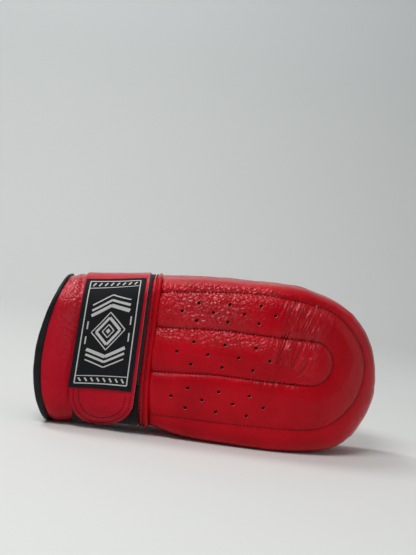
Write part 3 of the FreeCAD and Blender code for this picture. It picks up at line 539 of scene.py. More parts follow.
BLACK_THREAD = thread("black_thread", (0.004, 0.004, 0.005))
DARK_FOAM = fuzzy(
    "dark_foam", FOAM, 1300.0, tuple(c * 1.4 for c in FOAM), tuple(c * 0.6 for c in FOAM), 0.0005, 0.7, 0.95
)
RAW = [PALM_RED, EDGE, EDGE]  # leather whose pale cut edge shows

# ---------------------------------------------------------------- stitches


def stitches(name, path, normals, body="glove", slot="raw_edge_leather", pitch=2.3, long=1.5, wide=0.85,
             sink=-0.1, colour=BLACK_THREAD, across=False):
    """One row of thread: short rounded stitches along a path of points, standing on its normals.

    wide is one width for all, or one for each point of the path.
    """
    run = np.concatenate([[0.0], np.cumsum(np.linalg.norm(np.diff(path, axis=0), axis=1))])
    centres = np.arange(pitch * 0.6, run[-1] - pitch * 0.3, pitch)

    def read(values, ahead=0.0):
        return np.stack([np.interp(centres + ahead, run, column) for column in values.T], -1)

    up = read(normals)
    up /= np.linalg.norm(up, axis=1, keepdims=True)
    along = read(path, 0.3) - read(path, -0.3)
    along -= up * (along * up).sum(1, keepdims=True)
    along /= np.maximum(np.linalg.norm(along, axis=1, keepdims=True), 1e-9)
    side = np.cross(up, along)
    if across:
        along, side = side, -along
    # six rings of six points: where each lies along the stitch, how wide it is, and its rise
    ends = np.array([-1.0, -0.78, -0.3, 0.3, 0.78, 1.0])[:, None]
    rise = np.where(np.abs(ends) < 0.5, 0.12, -0.05) - sink
    wides = np.interp(centres, run, np.broadcast_to(wide, run.shape))[:, None, None]
    width = wides * np.array([0.25, 0.8, 1.0, 1.0, 0.8, 0.25])[:, None] / 2
    turn = np.arange(6) * math.pi / 3
    points = read(path)[:, None, None]
    for way, reach in (
        (along, ends * long / 2 + 0 * turn),
        (side, np.cos(turn) * width),
        (up, np.sin(turn) * width * 0.85 + rise),
    ):
        points = points + way[:, None, None] * reach[..., None]
    faces = []
    for base in range(0, 36 * len(centres), 36):
        faces += grid_quads(6, 6, False, True, base)
        faces += [list(range(base, base + 6)), list(range(base + 35, base + 29, -1))]
    settle(build(name, points.reshape(-1, 3), faces, [colour]), body, slot)


def laid_on(path, grid, normals):
    """A path moved onto the surface of a grid, and the surface's normals along it."""
    table, ups = grid.reshape(-1, 3), normals.reshape(-1, 3)
    near = [int(((table - p) ** 2).sum(1).argmin()) for p in path]
    off = ((table[near] - path) * ups[near]).sum(1, keepdims=True)
    return path + ups[near] * off, ups[near]


def along_corners(corners, steps):
    """Places evenly spread along straight lines from corner to corner."""
    corners = np.asarray(corners, float)
    shares = np.linspace(0, 1, steps)[:-1, None]
    return np.concatenate([a + (b - a) * shares for a, b in zip(corners, corners[1:])])


# ---------------------------------------------------------------- hand shell

RIM_R = 15.0  # rounding between the back and the sides
LIP = 1.4  # how far the back leather rolls over the palm at the fingertips
SINK = 1.2  # quilting starts this far under the solid's back, and rises past it
WALL_ROWS = 26  # rows of the shell's grid from its palm-side edge up to the back
U_MIDDLE = (72.5, 71.0)  # middle of the outer channel line's round end
ISLAND_HALF, ISLAND_END = 17.8, 75.2  # the inner channel line: half its width, and where its round end starts
VENT_X, VENT_PITCH, VENT_R = -20.6, 24.6, 1.3
PAD_IN, PAD_THICK = 2.6, 2.0  # the foam seen through the vents: how far under the leather, and its own depth


def island_middle(x):
    """Height of the inner channel's middle line."""
    return 70.5 + 4.8 * smooth(-62.0, 8.0, x)


def island_distance(x, z):
    """Distance to the inner channel line, negative inside it."""
    return np.hypot(np.maximum(x - ISLAND_END, 0.0), z - island_middle(x)) - ISLAND_HALF


def inside_channel(x, z):
    """How far a place lies inside the outer channel line: two long sides and a round end."""
    high = np.interp(x, (-60.0, 18.0, 42.0, 72.5), (116.4, 125.0, 125.2, 121.3))
    low = np.interp(x, (-60.0, 20.0, 72.5), (18.4, 19.4, 20.7))
    off_x, off_z = x - U_MIDDLE[0], z - U_MIDDLE[1]
    end = 50.4 - 2.8 * bump(np.degrees(np.arctan2(off_z, off_x)), 45, 24) - np.hypot(off_x, off_z)
    return np.where(off_x > 0, end, np.minimum(high - z, z - low))


def channel_inset():
    """Inset of the outer channel line at each station, evened out along the outline."""
    insets = np.arange(3.0, 30.0, 0.25)
    inside = np.array([inside_channel(*plan(inset)) for inset in insets])
    spread = np.hanning(41)
    return np.convolve(np.pad(insets[np.argmax(inside > 0, 0)], 20, "edge"), spread / spread.sum(), "valid")


def vent_places():
    """Centres of the punched vent holes: three clusters of three rows."""
    found = []
    for middle, rise, gap in ((36.2, 0.0, 8.2), (73.2, 0.03, 9.0), (107.2, 0.08, 6.9)):
        for row, (columns, offset) in zip((-1, 0, 1), ((3, 0.0), (4, -0.5), (3, 0.0))):
            for column in range(columns):
                x = VENT_X + VENT_PITCH * (column + offset)
                found.append((x, middle + rise * (x - 4.0) + gap * row))
    return found


CHANNEL = channel_inset()
VENTS = vent_places()


def quilting(x, z, depth):
    """Height of the pillows between the stitch channels, and how deep in a channel each place lies, which also
    places the painted shade in the channels.
    """
    outer, inner = depth - CHANNEL, island_distance(x, z)
    # the outer channel is slacker low down and round the tip, the inner one round its end
    tight = 0.36 + 0.64 * smooth(52.0, 96.0, z) * (1 - 0.4 * smooth(70.0, 110.0, x))
    inner = inner * (1 - 0.5 * smooth(ISLAND_END - 14.0, ISLAND_END + 8.0, x))
    on_back = smooth(0.5, 6.0, depth)
    between = np.minimum(np.maximum(outer, 0) * tight, np.maximum(inner, 0))
    field = 3.3 * (1 - np.exp(-between / 4.4))
    rim = 1.7 * (1 - np.exp(outer * tight / 3.2)) * on_back
    pillow = np.where(inner < 0, 3.1 * (1 - np.exp(inner / 4.6)), np.where(outer > 0, field, rim))
    pillow = pillow + 1.6 * np.sin(np.clip((depth - 14) / 52, 0, 1) * QUARTER)
    groove_and_shade = np.maximum(bump(outer, 0, 0.8) * tight, bump(inner, 0, 0.8))
    return pillow - 0.5 * groove_and_shade, groove_and_shade * on_back


def shell_relief(points, depth, seam):
    """Quilting, stitch channels and creases of the back as height over the plain form, and the leather's masks.

    The masks are the groove mask (painted shade along the stitch lines and the seam), bend (finger-bend
    wrinkles) and loose (slack, crinkled leather).
    """
    x, z = points[..., 0], points[..., 2]
    height, groove_and_shade = quilting(x, z, depth)
    height = height - 2.3 * seam
    # crosswise wrinkles where the fingers bend, leaning with the knuckles
    slant = x - 0.27 * (z - 70.0)
    skew = np.stack([slant, points[..., 1] * 0.2, z], -1)
    upper = 0.22 + 0.78 * smooth(50, 62, z)
    bend = smooth(26, 44, slant) * (1 - smooth(66, 84, slant)) * smooth(3, 12, depth) * upper
    cross = noise_field(skew, (4.4, 30.0, 24.0), 3.1) + 0.3 * noise_field(skew, (2.4, 30.0, 12.0), 8.3)
    height += bend * 0.7 * np.clip(0.8 - 2.4 * np.abs(cross), -0.5, 0.8)
    # slack leather along the thumb side and by the wrist
    loose = bump(x, -14, 40) * bump(z, 108, 17) + 0.9 * bump(x, 20, 60) * bump(z, 127, 7) + 0.6 * bump(z, 85, 6)
    loose = np.clip(loose * (1 - smooth(30, 58, x)), 0, 1) * smooth(1, 6, depth)
    height += loose * 0.6 * folds(points, (7.0, 9.0, 5.0), 5.7, 0.8, 2.2)
    height += bump(x, -38, 14) * bump(z, 119, 9) * 0.9 * folds(skew, (16.0, 9.0, 3.4), 4.9, 0.9, 2.2)
    height += 0.5 * noise_field(points, 27.0, 1.7) + 0.14 * noise_field(points, 8.0, 2.9)
    height += bump(depth, 2.0, 5.0) * smooth(20, 60, x) * 0.4 * noise_field(points, (7.0, 12.0, 7.0), 9.1)
    for vent_x, vent_z in VENTS:
        height -= 0.4 * bump(np.hypot(x - vent_x, z - vent_z), 0.0, 2.4) * smooth(0.5, 6.0, depth)
    # the first mask darkens the leather's colour: painted shade in the stitch grooves and the seam's dip
    masks = {"groove_and_shade": np.maximum(groove_and_shade, 0.6 * seam), "bend": bend, "loose": loose}
    return height * np.where(depth > 0.01, 1.0, 0.55), masks


def dome(x, z):
    """How far the back stands out or in from the solid's flat back: it is gently domed across the hand."""
    across = np.clip(1 - ((z - MIDDLE_Z) / 62.0) ** 2, 0, 1)
    return (4.6 * across - 2.0) * smooth(-52.0, -18.0, x) * (1 - smooth(84.0, 128.0, x))


def hand_shell():
    """Grid of the back leather, from its palm-side edge up over the side and across the back."""
    radius = corner_r(EDGE_X)
    corner = radius * QUARTER
    wall = palm_y(EDGE_X) - radius - (back_y(EDGE_X) + SINK + RIM_R)
    total = LIP + corner + np.maximum(wall, 1.0)
    # on the wrist half the leather stops at the side seam, past the corner
    start = (1 - smooth(58, 72, EDGE_X)) * (LIP + corner - 0.4)
    depth, y = [], []
    for row in range(WALL_ROWS):
        s = start + (total - start) * row / WALL_ROWS
        psi = np.clip((s - LIP) / radius, 0, QUARTER)
        depth.append(np.where(s < LIP, radius + LIP - s, radius * (1 - np.sin(psi))))
        down = np.where(s < LIP, 0.0, radius * (1 - np.cos(psi)) + np.maximum(s - LIP - corner, 0))
        y.append(palm_y(plan(depth[-1])[0]) - down)
    rounding = np.linspace(0, QUARTER, 20)
    insets = [*(RIM_R * (1 - np.cos(rounding))), *np.linspace(RIM_R, 59.0, 50)[1:]]
    drops = [*(RIM_R * (1 - np.sin(rounding))), *np.zeros(49)]
    for inset, drop in zip(insets, drops):
        depth.append(np.full(STATIONS, inset))
        y.append(back_y(plan(inset)[0]) + SINK + drop)
    depth = np.array(depth)
    x, z = plan(depth)
    on_back = np.arange(len(depth))[:, None] >= WALL_ROWS
    points = leaned(np.stack([x, np.array(y) - dome(x, z) * smooth(0.0, 11.0, depth) * on_back, z], -1))
    normals = grid_normals(points)
    relief, masks = shell_relief(points, depth, bump(x, SEAM_X, 3.4))
    for values in masks.values():
        values[:WALL_ROWS] = 0.0
    # the side bulges a little, with slow waves, and its edge tucks in at the seam
    swell = np.sin(np.arange(WALL_ROWS) / WALL_ROWS * math.pi)[:, None]
    relief[:WALL_ROWS] = 0.9 * swell + 0.6 * swell * noise_field(points[:WALL_ROWS], (13.0, 9.0, 13.0), 4.4)
    relief[:3] -= np.array([1.2, 0.55, 0.1])[:, None]
    return settled(raised(points, normals, relief)), depth, masks


def closed_shell(name, points, thick, materials, masks=None):
    """The shell's rings as one closed sheet, bridged across the middle of the hand."""
    rows, columns = points.shape[:2]
    half, last = columns // 2, points[-1]
    strip = np.array([last[:half] * (1 - s) + last[::-1][:half] * s for s in np.linspace(0, 1, 14)[1:-1]])
    base, added = rows * columns, strip.size // 3
    ring = list(range(base - columns, base))
    bridge = np.arange(base, base + added).reshape(-1, half).tolist()
    faces = grid_quads(rows, columns)
    for a, b in zip([ring[:half]] + bridge, bridge + [ring[::-1][:half]]):
        faces += [[a[i], b[i], b[i + 1], a[i + 1]] for i in range(half - 1)] + [[a[-1], b[-1], ring[half]]]
    outer = np.concatenate([points.reshape(-1, 3), strip.reshape(-1, 3)])
    normals = np.concatenate([grid_normals(points).reshape(-1, 3), np.tile((0.0, -1.0, 0.0), (added, 1))])
    masks = {label: np.append(values, np.zeros(added)) for label, values in (masks or {}).items()}
    return sheet(name, outer, outer - normals * thick, faces, materials, masks)


def punch(target, places, radius, low_y, high_y, sides=14):
    """Cuts round holes along Y through target; their walls take the raw edge's material."""
    turn = np.arange(sides) * 2 * math.pi / sides
    ring = np.stack([radius * np.cos(turn), 0 * turn, radius * np.sin(turn)], -1)
    points, faces = [], []
    for number, (x, z) in enumerate(places):
        points += [ring + (x, low_y, z), ring + (x, high_y, z)]
        base = 2 * sides * number
        faces += grid_quads(2, sides, False, True, base)
        faces += [list(range(base, base + sides)), list(range(base + 2 * sides - 1, base + sides - 1, -1))]
    cutter = build("cutter", np.concatenate(points), faces, target.data.materials, [1] * len(faces))
    modifier = target.modifiers.new("holes", "BOOLEAN")
    modifier.operation, modifier.solver, modifier.material_mode = "DIFFERENCE", "EXACT", "INDEX"
    modifier.object = cutter
    graph = bpy.context.evaluated_depsgraph_get()
    cut = target.evaluated_get(graph)
    mesh = bpy.data.meshes.new_from_object(cut, preserve_all_data_layers=True, depsgraph=graph)
    whole = target.data
    target.modifiers.clear()
    target.data = mesh
    bpy.data.meshes.remove(whole)
    bpy.data.objects.remove(cutter)
    mesh.name = target.name
    keep_rest(target)


shell_points, shell_depth, shell_masks = hand_shell()
shell_normals = grid_normals(shell_points)
back_shell = closed_shell("back_leather_shell", shell_points, LEATHER, [SHELL, EDGE, LINING], shell_masks)
punch(back_shell, VENTS, VENT_R, -60.0, -20.0)
settle(back_shell, "glove", "red_leather", "back_leather", "inner_foam", fill=0.8)

# the dark foam seen through the vents
pad = shell_points[WALL_ROWS + 4:, 2:-2:2]
pad = closed_shell("knuckle_foam_pad", pad - grid_normals(pad) * PAD_IN, PAD_THICK, [DARK_FOAM] * 3)
settle(pad, "glove", "dense_foam", "knuckle_foam", fill=0.8)


def line_on_shell(inset):
    """The path and normals of a ring of the shell, at one inset per station."""
    columns, numbers = np.arange(STATIONS), np.arange(WALL_ROWS, len(shell_depth))
    rows = np.array([np.interp(inset[i], shell_depth[WALL_ROWS:, i], numbers) for i in columns])
    low = rows.astype(int)
    share = (rows - low)[:, None]
    return [v[low, columns] * (1 - share) + v[low + 1, columns] * share for v in (shell_points, shell_normals)]


def nearest_on_shell(x, z):
    """Points and normals of the shell's back at plan places (x, z)."""
    table, normals = (values[WALL_ROWS + 12:].reshape(-1, 3) for values in (shell_points, shell_normals))
    found = []
    for px, pz in zip(x, z):
        away = (table[:, 0] - px) ** 2 + (table[:, 2] - pz) ** 2
        near = np.argsort(away)[:5]
        weight = 1 / (away[near] + 0.05)
        weight /= weight.sum()
        found.append(((px, weight @ table[near, 1], pz), weight @ normals[near]))
    return (np.array(values) for values in zip(*found))


def island_line():
    """Plan places along the inner channel line, from the wrist round its end and back."""
    run = np.arange(SEAM_X + 9.0, ISLAND_END, 1.5)
    turn = np.linspace(QUARTER, -QUARTER, 40)
    x = np.concatenate([run, ISLAND_END + ISLAND_HALF * np.cos(turn), run[::-1]])
    side = np.concatenate([run * 0 + 1, np.sin(turn), run * 0 - 1])
    return x, island_middle(x) + ISLAND_HALF * side


path, up = line_on_shell(CHANNEL)
shown = path[:, 0] > leaned(path * (0, 0, 1) + (SEAM_X, 0, 0))[:, 0] + 3.0
wide = 0.9 + 0.25 * smooth(60.0, 90.0, path[:, 2])
channel = {"slot": "red_leather", "pitch": 2.8, "long": 1.45}
stitches("stitch_outer_channel", path[shown], up[shown], wide=wide[shown], **channel)
path, up = nearest_on_shell(*island_line())
wide = 1.15 - 0.35 * smooth(ISLAND_END - 8.0, ISLAND_END + 6.0, path[:, 0])
stitches("stitch_inner_channel", path, up, wide=wide, **channel)

# ---------------------------------------------------------------- palm leathers, mesh and grip bar

BEND = 0.115  # share of the palm's width that each rounded side takes
SPLIT = 0.47  # share at which the gusset meets the heel leather
UP = (0, 1, 0)


def palm_point(x, share, lift):
    """A point of the palm's skin, share from the little-finger side seam (0) to the thumb side seam (1)."""
    x, share, lift = np.broadcast_arrays(np.asarray(x, float), share, lift)
    low, high, radius = side_z(x, False), side_z(x, True), corner_r(x)
    psi = np.clip(np.minimum(share, 1 - share) / BEND, 0, 1) * QUARTER
    inward = radius - (radius + lift) * np.cos(psi)
    flat = np.clip((share - BEND) / (1 - 2 * BEND), 0, 1)
    z = low + radius + (high - low - 2 * radius) * flat
    z = np.where(share < BEND, low + inward, np.where(share > 1 - BEND, high - inward, z))
    return settled(leaned(np.stack([x, palm_y(x) - radius + (radius + lift) * np.sin(psi), z], -1)))


def palm_shares(corner):
    """Shares across the palm, with more steps round its two sides."""
    spans = (0.0, BEND, corner), (BEND, 1 - BEND, 60), (1 - BEND, 1.0, corner)
    first, flat, last = (np.linspace(*span) for span in spans)
    return np.concatenate([first[:-1], flat, last[1:]])


SHARES = palm_shares(12)


def seam_line(z):
    """Wrist-side edge of both palm leathers."""
    return np.full(len(z), SEAM_X + 0.3)


def mesh_end(z):
    """Finger-side edge of the mesh."""
    return np.full(len(z), MESH_END_X - 2.0)


def gusset_edge(z):
    """Finger-side edge of the thumb gusset."""
    t = np.clip((z - 60.0) / 74.0, 0, 1)
    return -15.0 + 41.0 * t + 6.5 * np.sin(math.pi * t)


def heel_edge(z):
    """Finger-side edge of the heel leather."""
    return -16.0 - 9.0 * np.clip((MIDDLE_Z - z) / MIDDLE_Z, 0, 1) + 2.0 * np.sin(z / MIDDLE_Z * math.pi)


def mesh_left(z):
    """Wrist-side edge of the mesh, tucked under the two leathers."""
    return np.where(z > 62, gusset_edge(z), heel_edge(z)) - 5.0


def patch(name, slot, node, shares, edges, columns, lift, thick, materials, relief, flare=()):
    """A piece of the palm between two edges, each an x for every row's height."""
    heights = palm_point(-10.0, shares, 0.0)[..., 2]
    a, b = (edge(heights)[:, None] for edge in edges)
    x = a + (b - a) * np.linspace(0, 1, columns)[None, :]
    grid = palm_point(x, shares[:, None], lift)
    normals, flip = outward(grid, UP)
    grid = raised(grid, normals, relief(grid, x - a, b - x))
    settle(sheet_of(name, grid, thick, materials, flip=flip, flare=flare), "glove", slot, node)
    return grid, normals


def leather_waves(amount, scale, seed):
    """Soft waves, pressed down along the piece's sewn edges."""
    def relief(grid, from_left, from_right):
        press = 0.72 * np.exp(-np.minimum(from_left, from_right) / 2.4)
        return amount * noise_field(grid, scale, seed) + 0.9 - press
    return relief


def mesh_relief(grid, from_left, from_right):
    """The mesh bellies out a little between the leathers."""
    belly = np.sin(np.clip(from_left / 60.0, 0, 1) * math.pi) * bump(grid[..., 2], 62, 50)
    return 1.1 * belly + 0.3 * noise_field(grid, 16.0, 6.6)


patch("palm_spacer_mesh", "spacer_mesh", "palm_mesh", SHARES, (mesh_left, mesh_end), 70, -1.6, 1.6,
      [MESH, LINING, LINING], mesh_relief)
gusset, gusset_up = patch(
    "thumb_gusset_leather", "raw_edge_leather", "thumb_gusset", np.array([SPLIT, *SHARES[SHARES > SPLIT]]),
    (seam_line, gusset_edge), 64, 0.3, LEATHER, RAW, leather_waves(0.5, 17.0, 2.2), ((1, -1), (0, 0)),
)
heel, heel_up = patch(
    "palm_heel_leather_patch", "raw_edge_leather", "palm_heel_leather",
    np.array([*SHARES[SHARES < SPLIT + 0.02], SPLIT + 0.025]),
    (seam_line, heel_edge), 44, -0.5, LEATHER, RAW, leather_waves(0.5, 15.0, 7.7), ((1, -1),),
)
for name, grid, up in (("gusset", gusset[:-4], gusset_up[:-4]), ("heel", heel[4:], heel_up[4:])):
    stitches(f"stitch_{name}_edge", grid[:, -4], up[:, -4], pitch=2.75, long=1.8, sink=0.1, colour=THREAD)


def fingertip_panel():
    """The leather under the fingers, tucked beneath the rolled edge of the back leather."""
    inset = float(corner_r(TIP_X))
    start, end = BAR_X + 12.0, float(plan(inset)[0].max()) - 0.02
    x = start + (end - start) * np.sin(np.linspace(0, 1, 46) * QUARTER)
    top, low = (side_z(x, side, inset)[:, None] for side in (True, False))
    z = low + (top - low) * np.linspace(0, 1, 80)[None, :]
    x = np.repeat(x[:, None], 80, 1)
    from_side = np.minimum(top - z, z - low)
    from_tip = TIP_R - inset - np.hypot(x - (TIP_X - TIP_R), z - TIP_Z)
    from_edge = np.where(x < 92, from_side, np.clip(np.minimum(from_tip, from_side), 0, 60))
    belly = 3.3 * (1 - np.exp(-np.maximum(from_edge, 0) / 5.5)) - 2.3
    points = np.stack([x, palm_y(x) + belly, z], -1)
    creases = 0.4 * folds(points, (20.0, 12.0, 11.0), 1.3, 0.8, 2.2) * smooth(88.0, 104.0, x)
    points[..., 1] += 0.6 * noise_field(points, 19.0, 3.3) + creases
    return points


grid = fingertip_panel()
slack = {"loose": 0.7 * smooth(98.0, 118.0, grid[..., 0])}
panel = sheet_of("fingertip_palm_leather", grid, LEATHER, RAW, extra=slack, flip=outward(grid, UP)[1])
settle(panel, "glove", "red_leather", "fingertip_leather")


def bar_section():
    """The grip bar's cover in section: flange, roll, flange, as x from its middle and height over the palm."""
    turn = np.linspace(math.radians(204), math.radians(-24), 34)
    roll = np.stack([BAR_R * np.cos(turn), np.maximum(BAR_Y - PALM_Y + BAR_R * np.sin(turn), 1.75)], -1)
    left = [(-18.8, 1.45), (-16.5, 1.75), (-14.0, 1.7), (-12.2, 1.75)]
    right = [(12.2, 1.75), (14.0, 1.7), (16.5, 1.75), (18.6, 1.5)]
    return np.concatenate([left, roll, right])


def grip_bar():
    """The bar's cover from side seam to side seam, its ends drawn down into the seams."""
    shares = palm_shares(14)[:, None]
    ends = np.minimum(shares, 1 - shares)
    across, level = bar_section().T
    tall, flat = smooth(0.02, 0.17, ends), 1.7 * smooth(0.0, 0.07, ends) - 0.7
    lift = np.maximum(level - 1.7, 0) * tall + np.minimum(level, 1.7) * flat
    grid = palm_point(BAR_X + across + 1.8 * np.sin(math.pi * shares) - 0.9, shares, lift)
    return raised(grid, grid_normals(grid), 0.28 * noise_field(grid, (6.0, 6.0, 22.0), 4.9)
                  + 0.1 * noise_field(grid, 3.5, 6.1))


grid = grip_bar()
up, flip = outward(grid, UP)
cover = sheet_of("grip_bar_leather", grid, LEATHER * 0.8, RAW, flip=flip, flare=((1, 0),))
settle(cover, "glove", "raw_edge_leather", "grip_bar_cover", "grip_bar_core", fill=1.0)
for label, column, settings in (
    ("wrist_side_a", 3, {}),
    ("wrist_side_b", 1, {"long": 2.6, "wide": 0.75, "across": True}),
    ("finger_side_a", -4, {"pitch": 2.5}),
    ("finger_side_b", -2, {"pitch": 2.5}),
):
    stitches("stitch_bar_" + label, grid[6:-6, column], up[6:-6, column], **settings)

# ---------------------------------------------------------------- cuff

HEM_MIDDLE = 61.7  # height of the hem's middle
LINING_IN, LINING_END_X = 7.6, 112.0  # how far the lining lies inside the cuff's skin, and its closed end
# place along the hand, low, high, back, palm and corner radius of the cuff's rings, as in the solids
RINGS = np.array([
    (HEM_SIDE_X, 0.95, 118.6, -35.0, 34.0, 25.0),
    (STRAP_X, 5.2, 123.2, -31.5, 27.0, 21.0),
    (SEAM_X, 7.4, 126.8, -33.0, 26.0, 15.0),
])
# places once round the cuff, with 22 steps on each side and 12 in each corner
ROUND = np.concatenate([unit + np.arange(steps) / steps for unit, steps in enumerate((22, 12) * 4)])
# the wrist fold's outline: place along the hand, and height over the cuff
FOLD = np.array([
    (-65.6, 0.1), (-65.3, 1.2), (-64.2, 1.55), (-63.0, 1.3), (-61.9, 1.5), (-61.0, 1.2),
    (-60.5, 1.9), (-59.9, 2.75), (-59.1, 3.0), (-58.2, 2.5), (-57.6, 1.2), (-57.2, -0.6),
])


def cuff_ring(x):
    """The cuff's ring values at x, on a smooth curve through its three rings, straight past the hem."""
    places, values = RINGS[:, 0], RINGS[:, 1:]
    near = np.maximum(x, places[0])[..., None]
    weights = []
    for number, here in enumerate(places):
        others = np.delete(places, number)
        weights.append(np.prod((near - others) / (here - others), -1))
    straight = (values[0] - values[1]) / (places[0] - places[1])
    return np.stack(weights, -1) @ values + np.minimum(x - places[0], 0.0)[..., None] * straight * 0.6


def cuff_point(x, q, lift, lean=False):
    """A point round the cuff. q runs 0..8: palm side up, top corner, top, ... each unit one side or corner."""
    x, q, lift = np.broadcast_arrays(np.asarray(x, float), q, lift)
    low, high, back, palm, radius = np.moveaxis(cuff_ring(x), -1, 0)
    q = np.mod(q, 8.0)
    side = np.floor(q / 2).astype(int)
    along, turned = np.clip(q - 2 * side, 0, 1), np.clip(q - 2 * side - 1, 0, 1)
    centre_y = np.stack([palm - radius, back + radius, back + radius, palm - radius])
    centre_z = np.stack([high - radius, high - radius, low + radius, low + radius])

    def between(centres):
        before, after = (np.take_along_axis(centres, corner[None], 0)[0] for corner in ((side - 1) % 4, side))
        return before * (1 - along) + after * along

    angle = (side + turned) * QUARTER
    y = between(centre_y) + (radius + lift) * np.cos(angle)
    z = between(centre_z) + (radius + lift) * np.sin(angle)
    points = np.stack([x, y, z], -1)
    return leaned(points) if lean else points


def hem_x(z):
    """Place of the hem along the hand: it bows out and leans."""
    off = z / HEM_MIDDLE - 1
    return HEM_SIDE_X - HEM_BOW * (1 - off**2) + HEM_TILT * off - 2.0 * (off**3 - off)


def rounded(value, power):
    """A sine or cosine raised to a power, which squares off the round that it draws."""
    return np.copysign(np.abs(value) ** power, value)


def cuff_tube():
    """Grid of the cuff's leather, from the wrist seam to the hem."""
    start, shares = SEAM_X - 0.5, np.linspace(0, 1, 72)[:, None]
    x = np.full((len(shares), len(ROUND)), start)
    for _ in range(3):  # the hem's place depends on a point's height, and that on its place
        x = start + (hem_x(cuff_point(x, ROUND, 0.0)[..., 2]) + 2.0 - start) * shares
    return cuff_point(x, ROUND, 0.0, lean=True)


def binding():
    """The black binding folded over the hem, slimmer on the thumb side."""
    turn = np.linspace(0, 2 * math.pi, 28, endpoint=False)
    lift, along = 4.9 * rounded(np.cos(turn), 0.55) - 3.7, 3.2 * rounded(np.sin(turn), 0.7) + 2.5
    z = cuff_point(HEM_SIDE_X, ROUND, 0.0)[:, 2:]
    slim = 1 - 0.38 * smooth(60.0, 116.0, z)
    grid = cuff_point(hem_x(z) - 0.9 + (along + 0.7) * slim, ROUND[:, None], lift)
    return raised(grid, grid_normals(grid, True, True), 0.22 * noise_field(grid, 9.0, 3.8))


def lining():
    """A tube from the hem into the closed end of the hand."""
    to_hem = hem_x(cuff_point(SEAM_X, ROUND, -LINING_IN)[:, 2]) + 2.0 - SEAM_X
    cuff = cuff_point(SEAM_X + to_hem * np.linspace(1, 0, 26)[:, None], ROUND, -LINING_IN, lean=True)
    share = np.linspace(0, 1, 40)[1:, None]
    close = np.sqrt(np.maximum(1 - smooth(0.72, 1.0, share) ** 2, 0.0004))
    middle = cuff[-1, :, 1].mean()
    z = 64 + (cuff[-1, :, 2] - CUFF_MIDDLE) * 0.84 * close * (1 - 0.08 * share)
    y = cuff[-1, :, 1] - middle
    y = np.where(y < -0.01, y + 2.5 + 9.0 * smooth(0.0, 0.2, share), y - 0.5)  # back side, then palm side
    y = middle + 3 + (y - 3) * (0.3 + 0.7 * close) + 8.0 * share**2
    hand = np.stack([SEAM_X + (LINING_END_X - SEAM_X) * share + 0 * z, y, z], -1)
    grid = np.concatenate([cuff, hand])
    return grid + 0.9 * noise_field(grid, (12.0, 8.0, 14.0), 5.2)[..., None] * (0, 1, 1)


grid = cuff_tube()
up, flip = outward(grid, from_axis(grid), wrap_v=True)
x = grid[..., 0]
from_hem = x - hem_x(grid[..., 2])
soft = 0.55 * noise_field(grid, 20.0, 2.4) + 0.3 * noise_field(grid, (5.0, 16.0, 16.0), 7.2)
creases = folds(grid, (6.0, 22.0, 26.0), 1.1, 0.9, 2.0) * bump(x, -120, 8)
relief = soft * (1 - smooth(-76, -64, x)) + 0.5 * creases + bump(x, -122, 9)
grid = raised(grid, up, relief * smooth(2.5, 11.0, from_hem) - 0.5 * bump(from_hem, 4.5, 2.0))
slack = {"loose": 0.8 * bump(x, -119, 12) * smooth(40, 95, grid[..., 2])}
skins = [STRAP_RED, EDGE, LINING]
cuff = sheet_of("cuff_leather_tube", grid, LEATHER, skins, wrap_v=True, extra=slack, flip=flip)
settle(cuff, "glove", "red_leather", "cuff_leather", "cuff_foam", fill=0.5)

grid = binding()
outer_side = grid_normals(grid, True, True)[:, 0]
faces = grid_quads(*grid.shape[:2], True, True, flip=bool((outer_side * from_axis(grid[:, 0])).sum() < 0))
hem = build("hem_binding_roll", grid.reshape(-1, 3), faces, [BINDING])
settle(hem, "glove", "black_binding", "hem_binding")

sock = sheet_of("lining_sock", lining(), 0.7, [LINING] * 3, wrap_v=True)
settle(sock, "glove", "black_lining", "hand_lining", "cuff_lining")

# the band beside the wrist seam, with the hand leather's fold standing up at its finger side
grid = settled(cuff_point(FOLD[:, :1], ROUND, FOLD[:, 1:], lean=True))
up, flip = outward(grid, from_axis(grid), wrap_v=True)
grid = raised(grid, up, 0.2 * noise_field(grid, 6.0, 8.8))
band = sheet_of("wrist_seam_fold", grid, 1.0, [SHELL, SHELL, EDGE], wrap_v=True, flip=flip)
settle(band, "glove", "red_leather", "wrist_seam_band")
for label, row in (("a", 2), ("b", 4)):
    ring, ups = (np.concatenate([values[row], values[row][:1]]) for values in (grid, up))
    stitches("stitch_wrist_seam_" + label, ring, ups, slot="red_leather",
             pitch=2.1, long=1.25, wide=1.0, sink=-0.15)

# ---------------------------------------------------------------- strap

STRAP_HALF = STRAP_W / 2
STRAP_UP = 3.0  # the strap's mean height over the cuff
TAB_Z = STRAP_END_Z + STRAP_HALF  # middle of the tab's round end
JOIN_Z = 42.0  # under the patch, where the strap's leather and the tab's meet
LOOP_Z = 60.0  # top of the loop pad
BOX_HIGH = 29.0  # how far up from the root's end the box stitching goes
STRAP_RAW = [STRAP_RED, EDGE, EDGE]


def back_place(z):
    """Place round the back of the cuff at height z under the strap, from the top corner to the bottom one."""
    q = np.linspace(2.0, 7.0, 400)
    heights = cuff_point(STRAP_X, q, STRAP_UP)[:, 2]
    side = slice(int(heights.argmax()), int(heights.argmin()) + 1)
    return np.interp(-np.asarray(z, float), -heights[side], q[side])


def palm_place(z):
    """Place round the palm side of the cuff at height z."""
    q = np.linspace(0.0, 1.8, 200)
    return np.interp(z, cuff_point(STRAP_X, q, STRAP_UP)[:, 2], q)


def strap_lift(places):
    """The strap lies closer round the palm and thumb sides, and stands over the loop pad on the back."""
    return 2.6 + 1.5 * smooth(back_place(118.0), back_place(LOOP_Z), places)


def strap_grid(places, half_width, lift, drift=0.0):
    """A band round the cuff: one row for each place, half_width either side of the strap's middle."""
    half_width, lift = (np.broadcast_to(value, places.shape)[:, None] for value in (half_width, lift))
    return cuff_point(STRAP_X + drift + np.linspace(-1, 1, 34) * half_width, places[:, None], lift)


